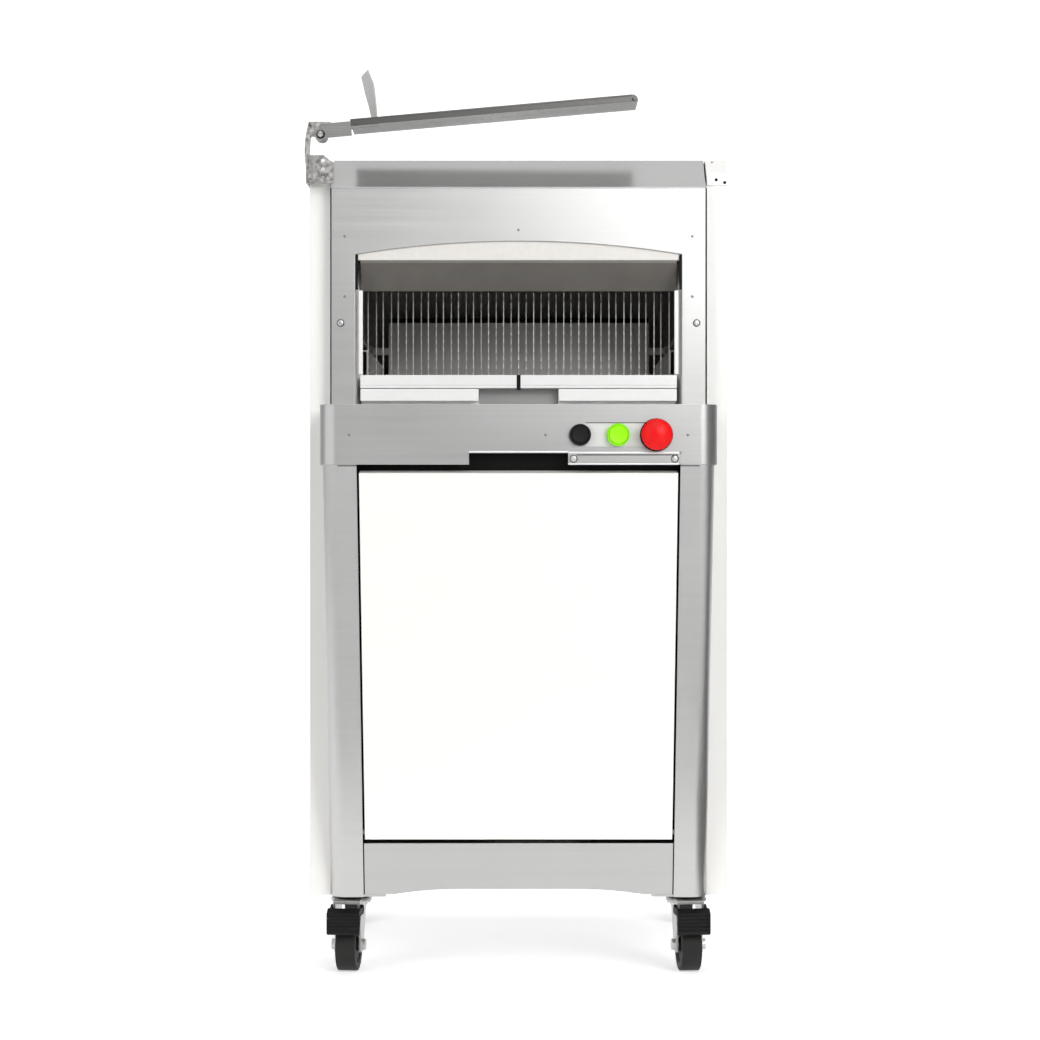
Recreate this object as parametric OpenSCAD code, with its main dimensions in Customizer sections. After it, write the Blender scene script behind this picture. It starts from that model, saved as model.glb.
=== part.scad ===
// Free-standing bread slicer on casters, in millimetres.
// The origin is on the floor under the middle of the machine, +Z is up and -Y is the front.

/* [Cabinet] */
// Overall width over the white side panels
body_w = 600; // [560:1:640]
// Depth from the steel front face to the back of the rear panel
body_depth = 530; // [500:1:600]
// Distance from the origin forward to the steel front face
face_ahead = 195; // [180:1:210]
// Height of the cabinet's underside above the floor
body_base = 114; // [112:1:124]
// Height of the hood's top above the floor
hood_top = 1172; // [1160:1:1240]
// Thickness of each white side panel
panel_t = 31; // [25:1:36]
// Distance that the side panels stand behind the front face
panel_setback = 20; // [10:1:30]
// Size of the chamfer at the top front corner of each side panel
panel_chamfer = 22; // [10:1:40]
// Thickness of the sheet metal
sheet = 3; // [2:0.5:4]
// Thickness of the base plate
base_t = 6; // [4:1:10]
// Width of the seam between the front face and each side panel
seam = 2; // [1:0.5:4]
// Horizontal run of the sloping band of the hood
hood_run = 43; // [25:1:50]
// Height of the sloping band of the hood
hood_drop = 45; // [30:1:55]
// Distance from the front face back to the lid's hinge line
lid_setback = 270; // [220:1:320]

/* [Mouth] */
// Width of the cabinet's front on each side of the mouth
mouth_margin = 67; // [60:1:90]
// Height of the ends of the mouth's arch above the table
arch_h = 221; // [190:1:240]
// Rise of the arch from its ends to its middle
arch_rise = 19; // [10:1:25]
// Height of the pale visor board below the ends of the arch
visor_drop = 8; // [4:1:14]
// Height of the sloping lintel under the visor
lintel_drop = 38; // [20:1:50]
// Depth that the lintel slopes back
lintel_run = 34; // [20:1:45]
// Amount by which each cheek plate closes in towards the blades
cheek_taper = 6; // [0:1:12]

/* [Outfeed table] */
// Height of the table's top above the floor
table_top = 810; // [790:1:830]
// Height of the table's apron
table_h = 82.5; // [75:0.5:95]
// Distance that the table reaches out in front of the face
table_reach = 140; // [110:1:160]
// Radius of the table's front corners
table_corner = 25; // [10:1:40]
// Width of the finger notch under the apron
notch_w = 135; // [100:1:160]
// Height of the finger notch
notch_h = 15.8; // [10:0.2:20]

/* [Loaf rests] */
// Height of the rests' top above the table
rest_h = 49; // [44:1:56]
// Thickness of a rest plate
rest_t = 18.7; // [12:0.1:20]
// Gap between the two rest plates
rest_gap = 5.6; // [3:0.1:10]
// Height of the bar under each rest plate
rail_h = 15.7; // [10:0.1:18]
// Half width of the hand space between the two bars
hand_half = 57; // [45:1:70]

/* [Legs and door] */
// Width of each leg's front flange
leg_w = 48; // [40:1:60]
// Radius of each leg's outer front edge
leg_r = 22; // [10:1:28]
// Thickness of the door
door_t = 18; // [15:1:22]
// Gap between the door and each leg
door_gap = 3.2; // [1.5:0.1:4]
// Gap between the top of the door and the table
door_head_gap = 12; // [5:0.5:14]
// Gap between the bottom of the door and the crossbar
door_foot_gap = 6; // [5:0.5:9]
// Height of the crossbar along the slope
crossbar_h = 77; // [60:1:90]
// Rise of the arch under the crossbar
crossbar_arch = 8; // [5:1:20]
// Half width of the flat middle of that arch
arch_flat = 83; // [40:1:120]
// Distance from the sides of the cabinet to the feet of that arch
arch_inset = 122; // [105:1:160]
// Distance from the floor of the cabinet up to the crossbar
crossbar_lift = 4; // [2:1:10]
// Height of the crumb bin
bin_h = 290; // [200:1:330]
// Depth of the crumb bin
bin_d = 100; // [70:1:110]

/* [Blades] */
// Distance between neighbouring blades
blade_pitch = 11; // [9:0.5:13]
// Thickness of a blade
blade_t = 1.2; // [0.6:0.1:2]
// Depth of a blade from edge to back
blade_depth = 10; // [8:0.5:11]
// Distance from the front face back to the middle of the blades
blade_setback = 90; // [86:1:100]
// Half of the stroke of each blade frame
stroke = 10; // [6:1:10]
// Thickness of a blade frame
frame_t = 12; // [11:0.5:12]
// Gap between the two blade frames
frame_gap = 6; // [6:0.5:10]
// Height of the frames' beams
beam_h = 25; // [20:1:30]

/* [Drive] */
// Length of the rocker's arms from its shaft to its rollers
rocker_arm = 40; // [36:1:44]
// Length of the arm that the connecting rod drives
drive_arm = 62; // [56:1:70]
// Length of the connecting rod between its eyes
rod_len = 230; // [210:1:250]
// Radius of the pulley on the crankshaft
big_pulley_r = 70; // [60:1:80]
// Radius of the pulley on the motor
small_pulley_r = 35; // [30:1:40]
// Width of the belt
belt_w = 16; // [12:1:20]
// Radius of the motor's housing
motor_r = 62; // [50:1:66]
// Length of the motor's housing
motor_len = 170; // [140:1:200]
// Distance of the motor behind the crankshaft
motor_back = 183; // [165:1:200]

/* [Infeed] */
// Height of the infeed trough's sides
trough_h = 44; // [30:1:50]
// Height of the pusher plate
pusher_h = 123; // [90:1:150]

/* [Bagging scoop] */
// Length of the scoop
scoop_len = 407; // [360:1:440]
// Width of the scoop from front to back
scoop_depth = 70; // [50:1:90]
// Height of the scoop's lips
scoop_lip = 10; // [8:1:16]
// Upward tilt of the scoop at rest
scoop_tilt = 5; // [0:0.5:10]
// Height of the scoop's pivot above the hood
pivot_rise = 24; // [22:1:40]
// Height of the paddle that stops the loaf
paddle_h = 78; // [40:1:90]

/* [Buttons] */
// Radius of the black button's cap
black_r = 11.5; // [10.5:0.5:14]
// Radius of the green button's cap
green_r = 13; // [10.5:0.5:15]
// Radius of the red stop button's head
red_r = 21.5; // [18:0.5:23]
// Distance between neighbouring buttons
button_pitch = 52; // [48:1:56]
// Distance of the green button from the right side of the cabinet
button_inset = 164; // [155:1:180]
// Travel of the black and the green button
button_travel = 4; // [2:0.5:5]
// Travel of the red stop button
stop_travel = 6; // [3:0.5:7]

/* [Casters] */
// Diameter of a wheel
wheel_d = 75; // [65:1:80]
// Width of a wheel
wheel_w = 29; // [24:1:32]
// Angle by which the front casters are turned outwards
front_toe = 5; // [0:1:20]
// Distance from a caster's swivel axis to its axle
caster_trail = 22; // [15:1:28]
// Distance of the front casters from the sides of the cabinet
front_caster_inset = 56; // [50:1:80]
// Distance of the rear casters from the sides of the cabinet
rear_caster_inset = 34; // [32:1:80]
// Distance of the front swivel axes behind the front face
front_caster_in = 72; // [60:1:90]
// Distance of the rear swivel axes in front of the back
rear_caster_in = 65; // [60:1:90]
// Width of a caster's top plate
caster_plate = 60; // [50:1:64]
// Width of a brake pedal
pedal_w = 47; // [46:1:56]

/* [Clearances] */
// Radial clearance of a pin or shaft in its bore
run_clear = 0.05; // [0.02:0.01:0.1]
// Gap between pieces that move past each other
part_clear = 0.3; // [0.2:0.1:0.5]

/* [Hidden] */
$fn = 64;
eps = 1;

// Widths, from the middle outwards
half_w = body_w / 2;
chassis_out = half_w - panel_t;
chassis_in = chassis_out - sheet;
face_half = chassis_out - seam;
table_lap = 4;
table_half = chassis_out + table_lap;
mouth_half = half_w - mouth_margin;
leg_in = chassis_out - leg_w;
door_half = leg_in - door_gap;

// Depths, from the front backwards
face_y = -face_ahead;
face_back = face_y + sheet;
table_front = face_y - table_reach;
apron_back = table_front + sheet;
panel_front = face_y + panel_setback;
body_back = face_y + body_depth;
rear_in = body_back - sheet;
blade_y = face_y + blade_setback;
frame_step = (frame_t + frame_gap) / 2;
front_y = blade_y - frame_step;
rear_y = blade_y + frame_step;
lid_y = face_y + lid_setback;

// Heights, from the floor upwards
base_top = body_base + base_t;
table_under = table_top - table_h;
deck_z = table_top - sheet;
rest_top = table_top + rest_h;
rest_base = rest_top - rest_t;
arch_end = table_top + arch_h;
arch_top = arch_end + arch_rise;
lintel_top = arch_end - visor_drop;
hood_under = hood_top - sheet;
hood_knee = hood_top - hood_drop;

// The slope of the legs, the door and the crossbar
lean = atan(table_reach / (table_under - body_base));
slope_len = (table_under - body_base) / cos(lean);
leg_bend = chassis_out - leg_r;
leg_foot_back = face_back + leg_r;
leg_foot_top = body_base + leg_r / tan(lean);
crossbar_low = crossbar_lift / cos(lean);
crossbar_high = crossbar_low + crossbar_h;
door_low = crossbar_high + door_foot_gap;
door_high = slope_len - door_head_gap;
hinge_lift = 8;
hinge_v = door_t / 2;
hinge_w = door_low + hinge_lift;
door_pin_r = 4;
door_boss_r = 7;
door_boss_len = 22;
door_pin_grip = 17;
pin_pad = 12;
stiffener_h = 20;
bin_half = 170;
bin_wall = 2;
bin_lift = 50;
bin_low = door_low + bin_lift;

// Blade frames and their guides
guide_r = 6;
lug_r = 8.5;
guide_in = 10;
guide_x = chassis_in - guide_in;
post_w = 12;
post_gap = 10;
post_out = guide_x - post_gap;
post_in = post_out - post_w;
low_beam_top = table_top - stroke;
low_beam_z = low_beam_top - beam_h;
beam_tuck = 5;
high_beam_z = arch_top - beam_tuck;
high_beam_top = high_beam_z + beam_h;
guide_spare = 10;
guide_low = low_beam_z - stroke - guide_spare;
guide_high = high_beam_top + stroke + guide_spare;
block_h = 20;
block_in = 22;
block_d = 2 * frame_step + 24;
blade_margin = 14;
blade_half = post_in - blade_margin;
blade_side = floor(blade_half / (2 * blade_pitch));

// Rocker, connecting rod, crankshaft and belt
rocker_drop = 75;
rocker_z = low_beam_z - rocker_drop;
rocker_r = 10;
roller_r = 8;
yoke_x = 180;
yoke_t = 12;
yoke_low = 18;
arm_t = 12;
arm_gap = 2;
arm_x = yoke_x - yoke_t / 2 - arm_gap - arm_t;
drive_x = 60;
rod_t = 12;
rod_gap = 6;
rod_x0 = drive_x + arm_t + rod_gap;
rod_pin_r = 6;
swing = asin(stroke / rocker_arm);
crank_throw = drive_arm * sin(swing);
crank_y = blade_y + drive_arm;
crank_z = rocker_z - rod_len;
crank_r = 12;
eccentric_r = 30;
eccentric_y = crank_y + crank_throw;
bearing_h = 50;
belt_t = 5;
belt_x = 152;
belt_steps = 40;
motor_y = crank_y + motor_back;
motor_rise = 13;
motor_z = base_top + motor_r + motor_rise;
motor_shaft_r = 8;
motor_bore = 30;
motor_gap = 40;
motor_x1 = belt_x - motor_gap;

// Infeed trough, pusher and its rods
trough_in = 41;
trough_half = chassis_in - trough_in;
trough_gap = 3;
trough_front = rear_y + lug_r + part_clear + trough_gap;
pusher_rod_in = 20;
pusher_rod_x = chassis_in - pusher_rod_in;
pusher_rod_rise = 71;
pusher_rod_z = rest_top + pusher_rod_rise;
pusher_gap = 10;
pusher_half = trough_half - pusher_gap;
pusher_t = 12;
pusher_park = 36;
pusher_y = rear_in - pusher_park;
pusher_lug_r = 9;
pusher_lug_len = 40;
pusher_block_d = 12;
pusher_block_back = trough_front + pusher_block_d;

// Lid hinge
knuckle_r = 4;
lid_pin_r = 2;
lid_pin_len = 70;
lid_z = hood_top - knuckle_r;
lid_gap = 2;
lid_half = chassis_in - lid_gap;

// Scoop, its pivot and its bracket
pivot_in = 21;
pivot_x = -(half_w - pivot_in);
pivot_z = hood_top + pivot_rise;
bracket_t = 4;
bracket_gap = 0.5;
bracket_back = face_y - bracket_gap;
bracket_front = bracket_back - bracket_t;
post_d = 20;
post_front = bracket_front - post_d;
post_block_d = 12;
arm_d = 11;
bolt_r = 5;
scoop_arm_front = post_front - part_clear - arm_d;
scoop_start = 43;
scoop_floor = 8;
scoop_sheet = 2;
scoop_mid_y = scoop_arm_front + scoop_depth / 2;

// Buttons
button_drop = 42;
button_z = table_top - button_drop;
bezel = 2.2;
bezel_h = 10;
collar_floor = 1.5;
stem_r = 9;
sleeve_r = 12;
sleeve_len = 14;
cap_t = 6;
red_collar_r = 16;
red_collar_h = 8;
red_head_t = 15;
screw_strip_t = 2;

// Casters
axle_z = wheel_d / 2;
axle_r = 5;
swivel_r = 5;
boss_r = 16;
plate_t = 4;
boss_h = 6;
fork_top = body_base - plate_t - boss_h - part_clear;
fork_web = 5;
fork_plate = 3.5;
fork_in = wheel_w / 2 + 1.5;
fork_out = fork_in + fork_plate;
front_swivel_y = face_y + front_caster_in;
rear_swivel_y = body_back - rear_caster_in;
pedal_pin_r = 4;
pedal_pin_drop = 13;
pedal_pin_z = fork_top - pedal_pin_drop;
pedal_pin_ahead = 15;
pedal_pin_y = -caster_trail - pedal_pin_ahead;

// A box between two corners
module slab(x0, x1, y0, y1, z0, z1) {
  translate([x0, y0, z0]) cube([x1 - x0, y1 - y0, z1 - z0]);
}

// Round bars along each axis
module bar_x(x0, x1, y, z, r) {
  translate([x0, y, z]) rotate([0, 90, 0]) cylinder(r = r, h = x1 - x0);
}
module bar_y(y0, y1, x, z, r) {
  translate([x, y0, z]) rotate([-90, 0, 0]) cylinder(r = r, h = y1 - y0);
}
module bar_z(z0, z1, x, y, r) {
  translate([x, y, z0]) cylinder(r = r, h = z1 - z0);
}

// A flat outline in Y and Z, carried across from x0 to x1
module across(x0, x1) {
  translate([x0, 0, 0]) rotate([90, 0, 90]) linear_extrude(x1 - x0) children();
}

// A flat outline in X and Z, carried back from y0 to y1
module back(y0, y1) {
  translate([0, y1, 0]) rotate([90, 0, 0]) linear_extrude(y1 - y0) children();
}

// The same piece on the left and on the right
module both_sides() {
  children();
  mirror([1, 0, 0]) children();
}

// The sloping plane of the legs: X across, Y into the machine, Z up the slope
module on_slope() {
  translate([0, face_y, body_base]) rotate([lean, 0, 0]) children();
}

// Floor of the cabinet, open behind the crossbar's arch and at the legs' corners
module base_plate() {
  arch_spare = 12;
  cut_half = half_w - arch_inset + arch_spare;
  cut_depth = 96;
  color("gainsboro") difference() {
    slab(-chassis_in, chassis_in, face_back, rear_in, body_base, base_top);
    slab(-cut_half, cut_half, face_back - eps, face_back + cut_depth, body_base - eps, base_top + eps);
    both_sides()
      slab(leg_bend, chassis_in + eps, face_back - eps, leg_foot_back + part_clear,
           body_base - eps, base_top + eps);
  }
}

// Two upright sheets with a folded front flange, which carry everything inside
module chassis_plates() {
  flange_gap = 13;
  flange_in = mouth_half + flange_gap;
  knee = 7;
  color("lightgray") both_sides() {
    across(chassis_in, chassis_out)
      polygon([[leg_foot_back, body_base], [rear_in, body_base], [rear_in, hood_under],
               [face_back + hood_run + knee, hood_under], [face_back, hood_knee - knee],
               [face_back, leg_foot_top], [leg_foot_back, leg_foot_top]]);
    slab(flange_in, chassis_in, face_back, face_back + sheet, table_under, hood_knee - knee);
  }
}

// A white folded panel, open towards the chassis
module side_panel() {
  top = hood_top - panel_chamfer;
  color("white") difference() {
    across(chassis_out, half_w)
      polygon([[panel_front, body_base], [body_back, body_base], [body_back, hood_top],
               [panel_front + panel_chamfer, hood_top], [panel_front, top]]);
    across(chassis_out - eps, half_w - sheet)
      polygon([[panel_front + sheet, body_base + sheet], [body_back - sheet, body_base + sheet],
               [body_back - sheet, hood_top - sheet],
               [panel_front + panel_chamfer + sheet / 2, hood_top - sheet],
               [panel_front + sheet, top - sheet / 2]]);
  }
}
module left_side_panel() { mirror([1, 0, 0]) side_panel(); }
module right_side_panel() { side_panel(); }

// Back sheet, with the hole for the cord gland
gland_x = half_w / 2;
gland_rise = 96;
gland_z = body_base + gland_rise;
gland_r = 9;
module rear_panel() {
  color("whitesmoke") difference() {
    slab(-chassis_out, chassis_out, rear_in, body_back, body_base, hood_under);
    bar_y(rear_in - eps, body_back + eps, gland_x, gland_z, gland_r);
  }
}

// Folded steel hood: the sloping band and the flat top up to the lid
module top_hood() {
  knuckle_gap = 1;
  edge = lid_y - knuckle_r - knuckle_gap;
  slant = sqrt(hood_run * hood_run + hood_drop * hood_drop);
  inner_y = sheet * (slant - hood_run) / hood_drop;
  inner_z = sheet * (slant - hood_drop) / hood_run;
  color("silver") across(-face_half, face_half)
    polygon([[face_y, hood_knee], [face_y + hood_run, hood_top], [edge, hood_top],
             [edge, hood_under], [face_y + hood_run + inner_y, hood_under],
             [face_y + sheet, hood_knee - inner_z], [face_y, hood_knee - inner_z]]);
}

// Outline of the mouth, with its shallow arch
module mouth_outline(low) {
  arch_r = (mouth_half * mouth_half + arch_rise * arch_rise) / (2 * arch_rise);
  intersection() {
    translate([0, arch_top - arch_r]) circle(arch_r, $fn = 240);
    translate([-mouth_half, low]) square([2 * mouth_half, arch_top + eps - low]);
  }
}

// Steel front sheet around the mouth
module front_face() {
  slant = sqrt(hood_run * hood_run + hood_drop * hood_drop);
  top = hood_knee - sheet * (slant - hood_drop) / hood_run;
  color("silver") back(face_y, face_back) difference() {
    translate([-face_half, table_under]) square([2 * face_half, top - table_under]);
    mouth_outline(deck_z);
  }
}

// Pale board that closes the arch from behind
module arch_visor() {
  visor_lap = 12;
  visor_over = 10;
  visor_t = 4;
  visor_half = mouth_half + visor_lap;
  color("ivory")
    slab(-visor_half, visor_half, face_back, face_back + visor_t, lintel_top, arch_top + visor_over);
}

// Dark sheet that slopes back from the visor to the blades
module lintel() {
  lintel_gap = 1;
  lintel_half = mouth_half - cheek_taper - lintel_gap;
  lip = 4;
  color("dimgray") across(-lintel_half, lintel_half)
    polygon([[face_back, lintel_top], [face_back + lip, lintel_top],
             [face_back + lip + lintel_run, lintel_top - lintel_drop],
             [face_back + lip + lintel_run - sheet, lintel_top - lintel_drop - sheet],
             [face_back, lintel_top - sheet - 1]]);
}

// Side walls of the mouth, which close in towards the blades
module cheeks() {
  lug_gap = 2;
  cheek_back = front_y - lug_r - lug_gap;
  color("lightgray") both_sides() translate([0, 0, table_top])
    linear_extrude(lintel_top - table_top)
      polygon([[mouth_half, face_back], [mouth_half + sheet, face_back],
               [mouth_half - cheek_taper + sheet, cheek_back], [mouth_half - cheek_taper, cheek_back]]);
}

// Two loaf rests, each on a bar and a block that stands on the table
module rest_plates() {
  edge_gap = 1;
  front_gap = 2;
  back_gap = 4;
  bar_depth = 23;
  shadow_gap = 2.8;
  rest_out = mouth_half - cheek_taper - edge_gap;
  plate_front = face_y + front_gap;
  plate_back = front_y - frame_t / 2 - back_gap;
  bar_back = plate_front + bar_depth;
  bar_top = rest_base - shadow_gap;
  color("white") both_sides() {
    slab(rest_gap / 2, rest_out, plate_front, plate_back, rest_base, rest_top);
    slab(hand_half, rest_out, plate_front, bar_back, bar_top - rail_h, bar_top);
    slab(hand_half, rest_out, bar_back, plate_back, table_top, rest_base);
  }
}

// A plan outline of the table with two rounded front corners
module table_plan(half, front, r) {
  translate([-half, front + r]) square([2 * half, face_y - front - r]);
  translate([-half + r, front]) square([2 * (half - r), r + eps]);
  for (s = [-1, 1]) translate([s * (half - r), front + r]) circle(r);
}

// Folded steel table with its apron, its deck inside the mouth and an upstand under the rests
module outfeed_table() {
  deck_gap = 0.5;
  deck_half = mouth_half - deck_gap;
  deck_lap = 7;
  inner_half = mouth_half + deck_lap;
  deck_back_gap = 2;
  deck_back = front_y - lug_r - deck_back_gap;
  upstand_in = 35;
  upstand_y = face_y + upstand_in;
  color("silver") difference() {
    union() {
      difference() {
        translate([0, 0, table_under]) linear_extrude(table_h)
          table_plan(table_half, table_front, table_corner);
        translate([0, 0, table_under - eps]) linear_extrude(table_h + eps - sheet) {
          table_plan(table_half - sheet, apron_back, table_corner - sheet);
          translate([sheet - table_half, face_y - eps]) square([2 * (table_half - sheet), 2 * eps]);
        }
      }
      slab(-deck_half, deck_half, face_y - eps, face_back + eps, deck_z, table_top);
      slab(-inner_half, inner_half, face_back, deck_back, deck_z, table_top);
      slab(-hand_half, hand_half, upstand_y, upstand_y + sheet, table_top - eps, rest_base);
    }
    slab(-notch_w / 2, notch_w / 2, table_front - eps, apron_back + eps,
         table_under - eps, table_under + notch_h);
    for (i = [-1, 0, 1])
      bar_y(table_front - eps, apron_back + eps, green_x + i * button_pitch, button_z, sleeve_r + run_clear);
  }
}

// Plan of a folded edge: a flange along X and a web along Y, with one round outer corner
module fold_plan(x0, x1, y0, y1, r) {
  translate([x0, y0]) square([x1 - r - x0, y1 - y0]);
  translate([x0, y0 + r]) square([x1 - x0, y1 - y0 - r]);
  translate([x1 - r, y0 + r]) circle(r);
}

// A sloping folded leg: its front flange and its outer web back to the chassis
module leg() {
  flange_spare = 60;
  depth = table_reach + flange_spare;
  spare = 80;
  color("silver") intersection() {
    on_slope() translate([0, 0, -spare]) linear_extrude(slope_len + 2 * spare) difference() {
      fold_plan(leg_in, chassis_out, 0, depth, leg_r);
      fold_plan(leg_in - eps, chassis_out - sheet, sheet, depth + eps, leg_r - sheet);
    }
    union() {
      slab(0, half_w, table_front - eps, face_back, body_base, table_under);
      slab(leg_bend, half_w, table_front - eps, leg_foot_back, body_base, leg_foot_top);
    }
  }
}
module left_leg() { mirror([1, 0, 0]) leg(); }
module right_leg() { leg(); }

// Points of the sloping frame in Y and Z: depth v into the machine and distance w up the slope
function slope_point(v, w) =
  [face_y - w * sin(lean) + v * cos(lean), body_base + w * cos(lean) + v * sin(lean)];
function slope_y(v, z) = face_y + (v - (z - body_base) * sin(lean)) / cos(lean);

// Black frame behind the door, with a rail that shows through the finger notch
module door_frame() {
  swing_gap = 1;
  margin = 20;
  rail_drop = 22;
  rail_rise = 5;
  foot_swing = norm([door_t - hinge_v, hinge_lift]);
  front_v = max(leg_r, hinge_v + foot_swing + swing_gap);
  back_v = front_v + sheet;
  rail_low = table_under - rail_drop;
  rail_top = table_under + notch_h + rail_rise;
  color("black") difference() {
    across(-chassis_in, chassis_in)
      polygon([slope_point(front_v, door_low), [slope_y(front_v, rail_low), rail_low],
               [slope_y(front_v, rail_low), rail_top], [slope_y(back_v, rail_low), rail_top],
               [slope_y(back_v, rail_low), rail_low], slope_point(back_v, door_low)]);
    on_slope() slab(-bin_half - margin, bin_half + margin, front_v - 2 * sheet, back_v + 2 * sheet,
                    door_low + margin, bin_low + bin_h + 2 * margin);
  }
}

// Steel bar between the legs' feet, cut up underneath to a flat middle
module lower_crossbar() {
  arch_foot = half_w - arch_inset;
  run = arch_foot - arch_flat;
  sweep_r = (run * run + crossbar_arch * crossbar_arch) / (2 * crossbar_arch);
  arch_z = crossbar_low + crossbar_arch;
  color("silver") on_slope() back(0, sheet) difference() {
    translate([-leg_in, crossbar_low]) square([2 * leg_in, crossbar_h]);
    translate([-arch_flat, crossbar_low - eps]) square([2 * arch_flat, crossbar_arch + eps]);
    for (s = [-1, 1]) intersection() {
      translate([s * arch_flat, arch_z - sweep_r]) circle(sweep_r, $fn = 240);
      translate([s > 0 ? arch_flat - eps : -arch_foot - eps, crossbar_low - eps])
        square([run + 2 * eps, crossbar_arch + eps]);
    }
  }
}

// White folded door with two stiffeners for the bin and two hinge bosses
module front_door() {
  skin = sheet + part_clear;
  stiffener_lift = 15;
  low_stiffener = bin_low + stiffener_lift;
  stiffener_drop = 50;
  high_stiffener = bin_low + bin_h - stiffener_drop;
  color("white") on_slope() difference() {
    union() {
      difference() {
        slab(-door_half, door_half, part_clear, door_t, door_low, door_high);
        slab(-door_half + sheet, door_half - sheet, skin, door_t + eps, door_low + sheet, door_high - sheet);
      }
      for (w = [low_stiffener, high_stiffener])
        slab(-bin_half, bin_half, skin - eps, door_t, w, w + stiffener_h);
      both_sides() bar_x(door_half - door_boss_len, door_half, hinge_v, hinge_w, door_boss_r);
    }
    both_sides()
      bar_x(door_half - door_boss_len - eps, door_half + eps, hinge_v, hinge_w, door_pin_r + run_clear);
  }
}

// Open-topped bin on the back of the door
module crumb_bin() {
  color("gainsboro") on_slope() difference() {
    slab(-bin_half, bin_half, door_t, door_t + bin_d, bin_low, bin_low + bin_h);
    slab(-bin_half + bin_wall, bin_half - bin_wall, door_t + bin_wall, door_t + bin_d - bin_wall,
         bin_low + bin_wall, bin_low + bin_h + eps);
  }
}

// Pins of the door on pads behind the legs, and pins of the lid on the chassis
module hinge_pins() {
  pad_gap = 2;
  color("gray") both_sides() {
    on_slope() {
      bar_x(door_half - door_pin_grip, leg_in + pin_pad, hinge_v, hinge_w, door_pin_r);
      slab(leg_in + pad_gap, leg_in + pin_pad, sheet, hinge_v + door_boss_r,
           hinge_w - door_boss_r, hinge_w + door_boss_r);
    }
    bar_x(chassis_in - lid_pin_len, chassis_in, lid_y, lid_z, lid_pin_r);
  }
}

// Places of the three buttons along the apron
green_x = half_w - button_inset;
black_x = green_x - button_pitch;
red_x = green_x + button_pitch;

// A round bezel with its sleeve through the apron
module collar(x, outer_r, inner_r, h) {
  difference() {
    union() {
      bar_y(table_front - h, table_front, x, button_z, outer_r);
      bar_y(table_front - eps, table_front + sleeve_len, x, button_z, sleeve_r);
    }
    bar_y(table_front - h - eps, table_front - collar_floor, x, button_z, inner_r);
    bar_y(table_front - h - eps, table_front + sleeve_len + eps, x, button_z, stem_r + run_clear);
  }
}
module button_collars() {
  color("dimgray") {
    collar(black_x, black_r + part_clear + bezel, black_r + part_clear, bezel_h);
    collar(green_x, green_r + part_clear + bezel, green_r + part_clear, bezel_h);
    collar(red_x, red_collar_r, stem_r + run_clear, red_collar_h);
  }
}

// A flat push cap with its stem
module push_cap(x, r) {
  cap_back = table_front - collar_floor - part_clear - button_travel;
  bar_y(cap_back - cap_t, cap_back, x, button_z, r);
  bar_y(cap_back - eps, table_front + sleeve_len - eps, x, button_z, stem_r);
}
module black_button() { color("black") push_cap(black_x, black_r); }
module green_button() { color("lime") push_cap(green_x, green_r); }

// Mushroom head with its stem
module red_stop_button() {
  head_back = table_front - red_collar_h - part_clear - stop_travel;
  crown = 8;
  crown_r = (red_r * red_r + crown * crown) / (2 * crown);
  color("red") {
    translate([red_x, head_back, button_z]) rotate([90, 0, 0]) rotate_extrude() intersection() {
      square([red_r, red_head_t]);
      translate([0, red_head_t - crown_r]) circle(crown_r);
    }
    bar_y(head_back - eps, table_front + sleeve_len - eps, red_x, button_z, stem_r);
  }
}

// Steel strip under the buttons
strip_past = 32;
strip_end = red_x + strip_past;
module cover_strip() {
  color("lightgray") slab(notch_w / 2, strip_end, table_front - screw_strip_t, table_front,
                          table_under, table_under + notch_h);
}

// Screws and rivets on the face, the apron and the strip
module panel_screws() {
  head_r = 5;
  head_t = 2.5;
  rivet_r = 2.5;
  rivet_t = 1;
  screw_in = 13;
  screw_rise = 123;
  rivet_in = 19;
  rivet_over = 26;
  rivet_under = 60;
  crown_over = 16;
  apron_in = 41;
  apron_gap = 47;
  strip_in = 7.5;
  strip_front = table_front - screw_strip_t;
  color("gray") {
    for (s = [-1, 1]) {
      bar_y(face_y - head_t, face_y, s * (face_half - screw_in), table_top + screw_rise, head_r);
      bar_y(face_y - rivet_t, face_y, s * (face_half - rivet_in), arch_end + rivet_over, rivet_r);
      bar_y(face_y - rivet_t, face_y, s * (face_half - rivet_in), arch_end - rivet_under, rivet_r);
      bar_y(table_front - rivet_t, table_front, s * (table_half - apron_in), button_z, rivet_r);
    }
    bar_y(face_y - rivet_t, face_y, 0, arch_top + crown_over, rivet_r);
    bar_y(table_front - rivet_t, table_front, black_x - apron_gap, button_z, rivet_r);
    bar_y(strip_front - head_t, strip_front, notch_w / 2 + strip_in, table_under + notch_h / 2, head_r);
    bar_y(strip_front - head_t, strip_front, strip_end - strip_in, table_under + notch_h / 2, head_r);
  }
}

// Drilled angle bracket round the left front corner of the cabinet
module scoop_bracket() {
  bracket_drop = 40;
  bracket_low = hood_top - bracket_drop;
  bracket_w = 37;
  bracket_in = half_w - bracket_w;
  bracket_out = half_w + sheet;
  corner_run = 15;
  corner_drop = 12;
  hole_x = half_w - pivot_in;
  hole_r = 3;
  hole_drops = [8, 20, 32];
  flange_depth = 50;
  color("darkgray") mirror([1, 0, 0]) {
    back(bracket_front, bracket_back) difference() {
      polygon([[bracket_in, bracket_low], [bracket_out, bracket_low], [bracket_out, hood_top],
               [bracket_in + corner_run, hood_top], [bracket_in, hood_top - corner_drop]]);
      for (drop = hole_drops)
        translate([hole_x, hood_top - drop]) circle(hole_r);
    }
    slab(half_w, bracket_out, bracket_back - eps, panel_front + flange_depth,
         bracket_low, hood_top - panel_chamfer);
  }
}

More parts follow.
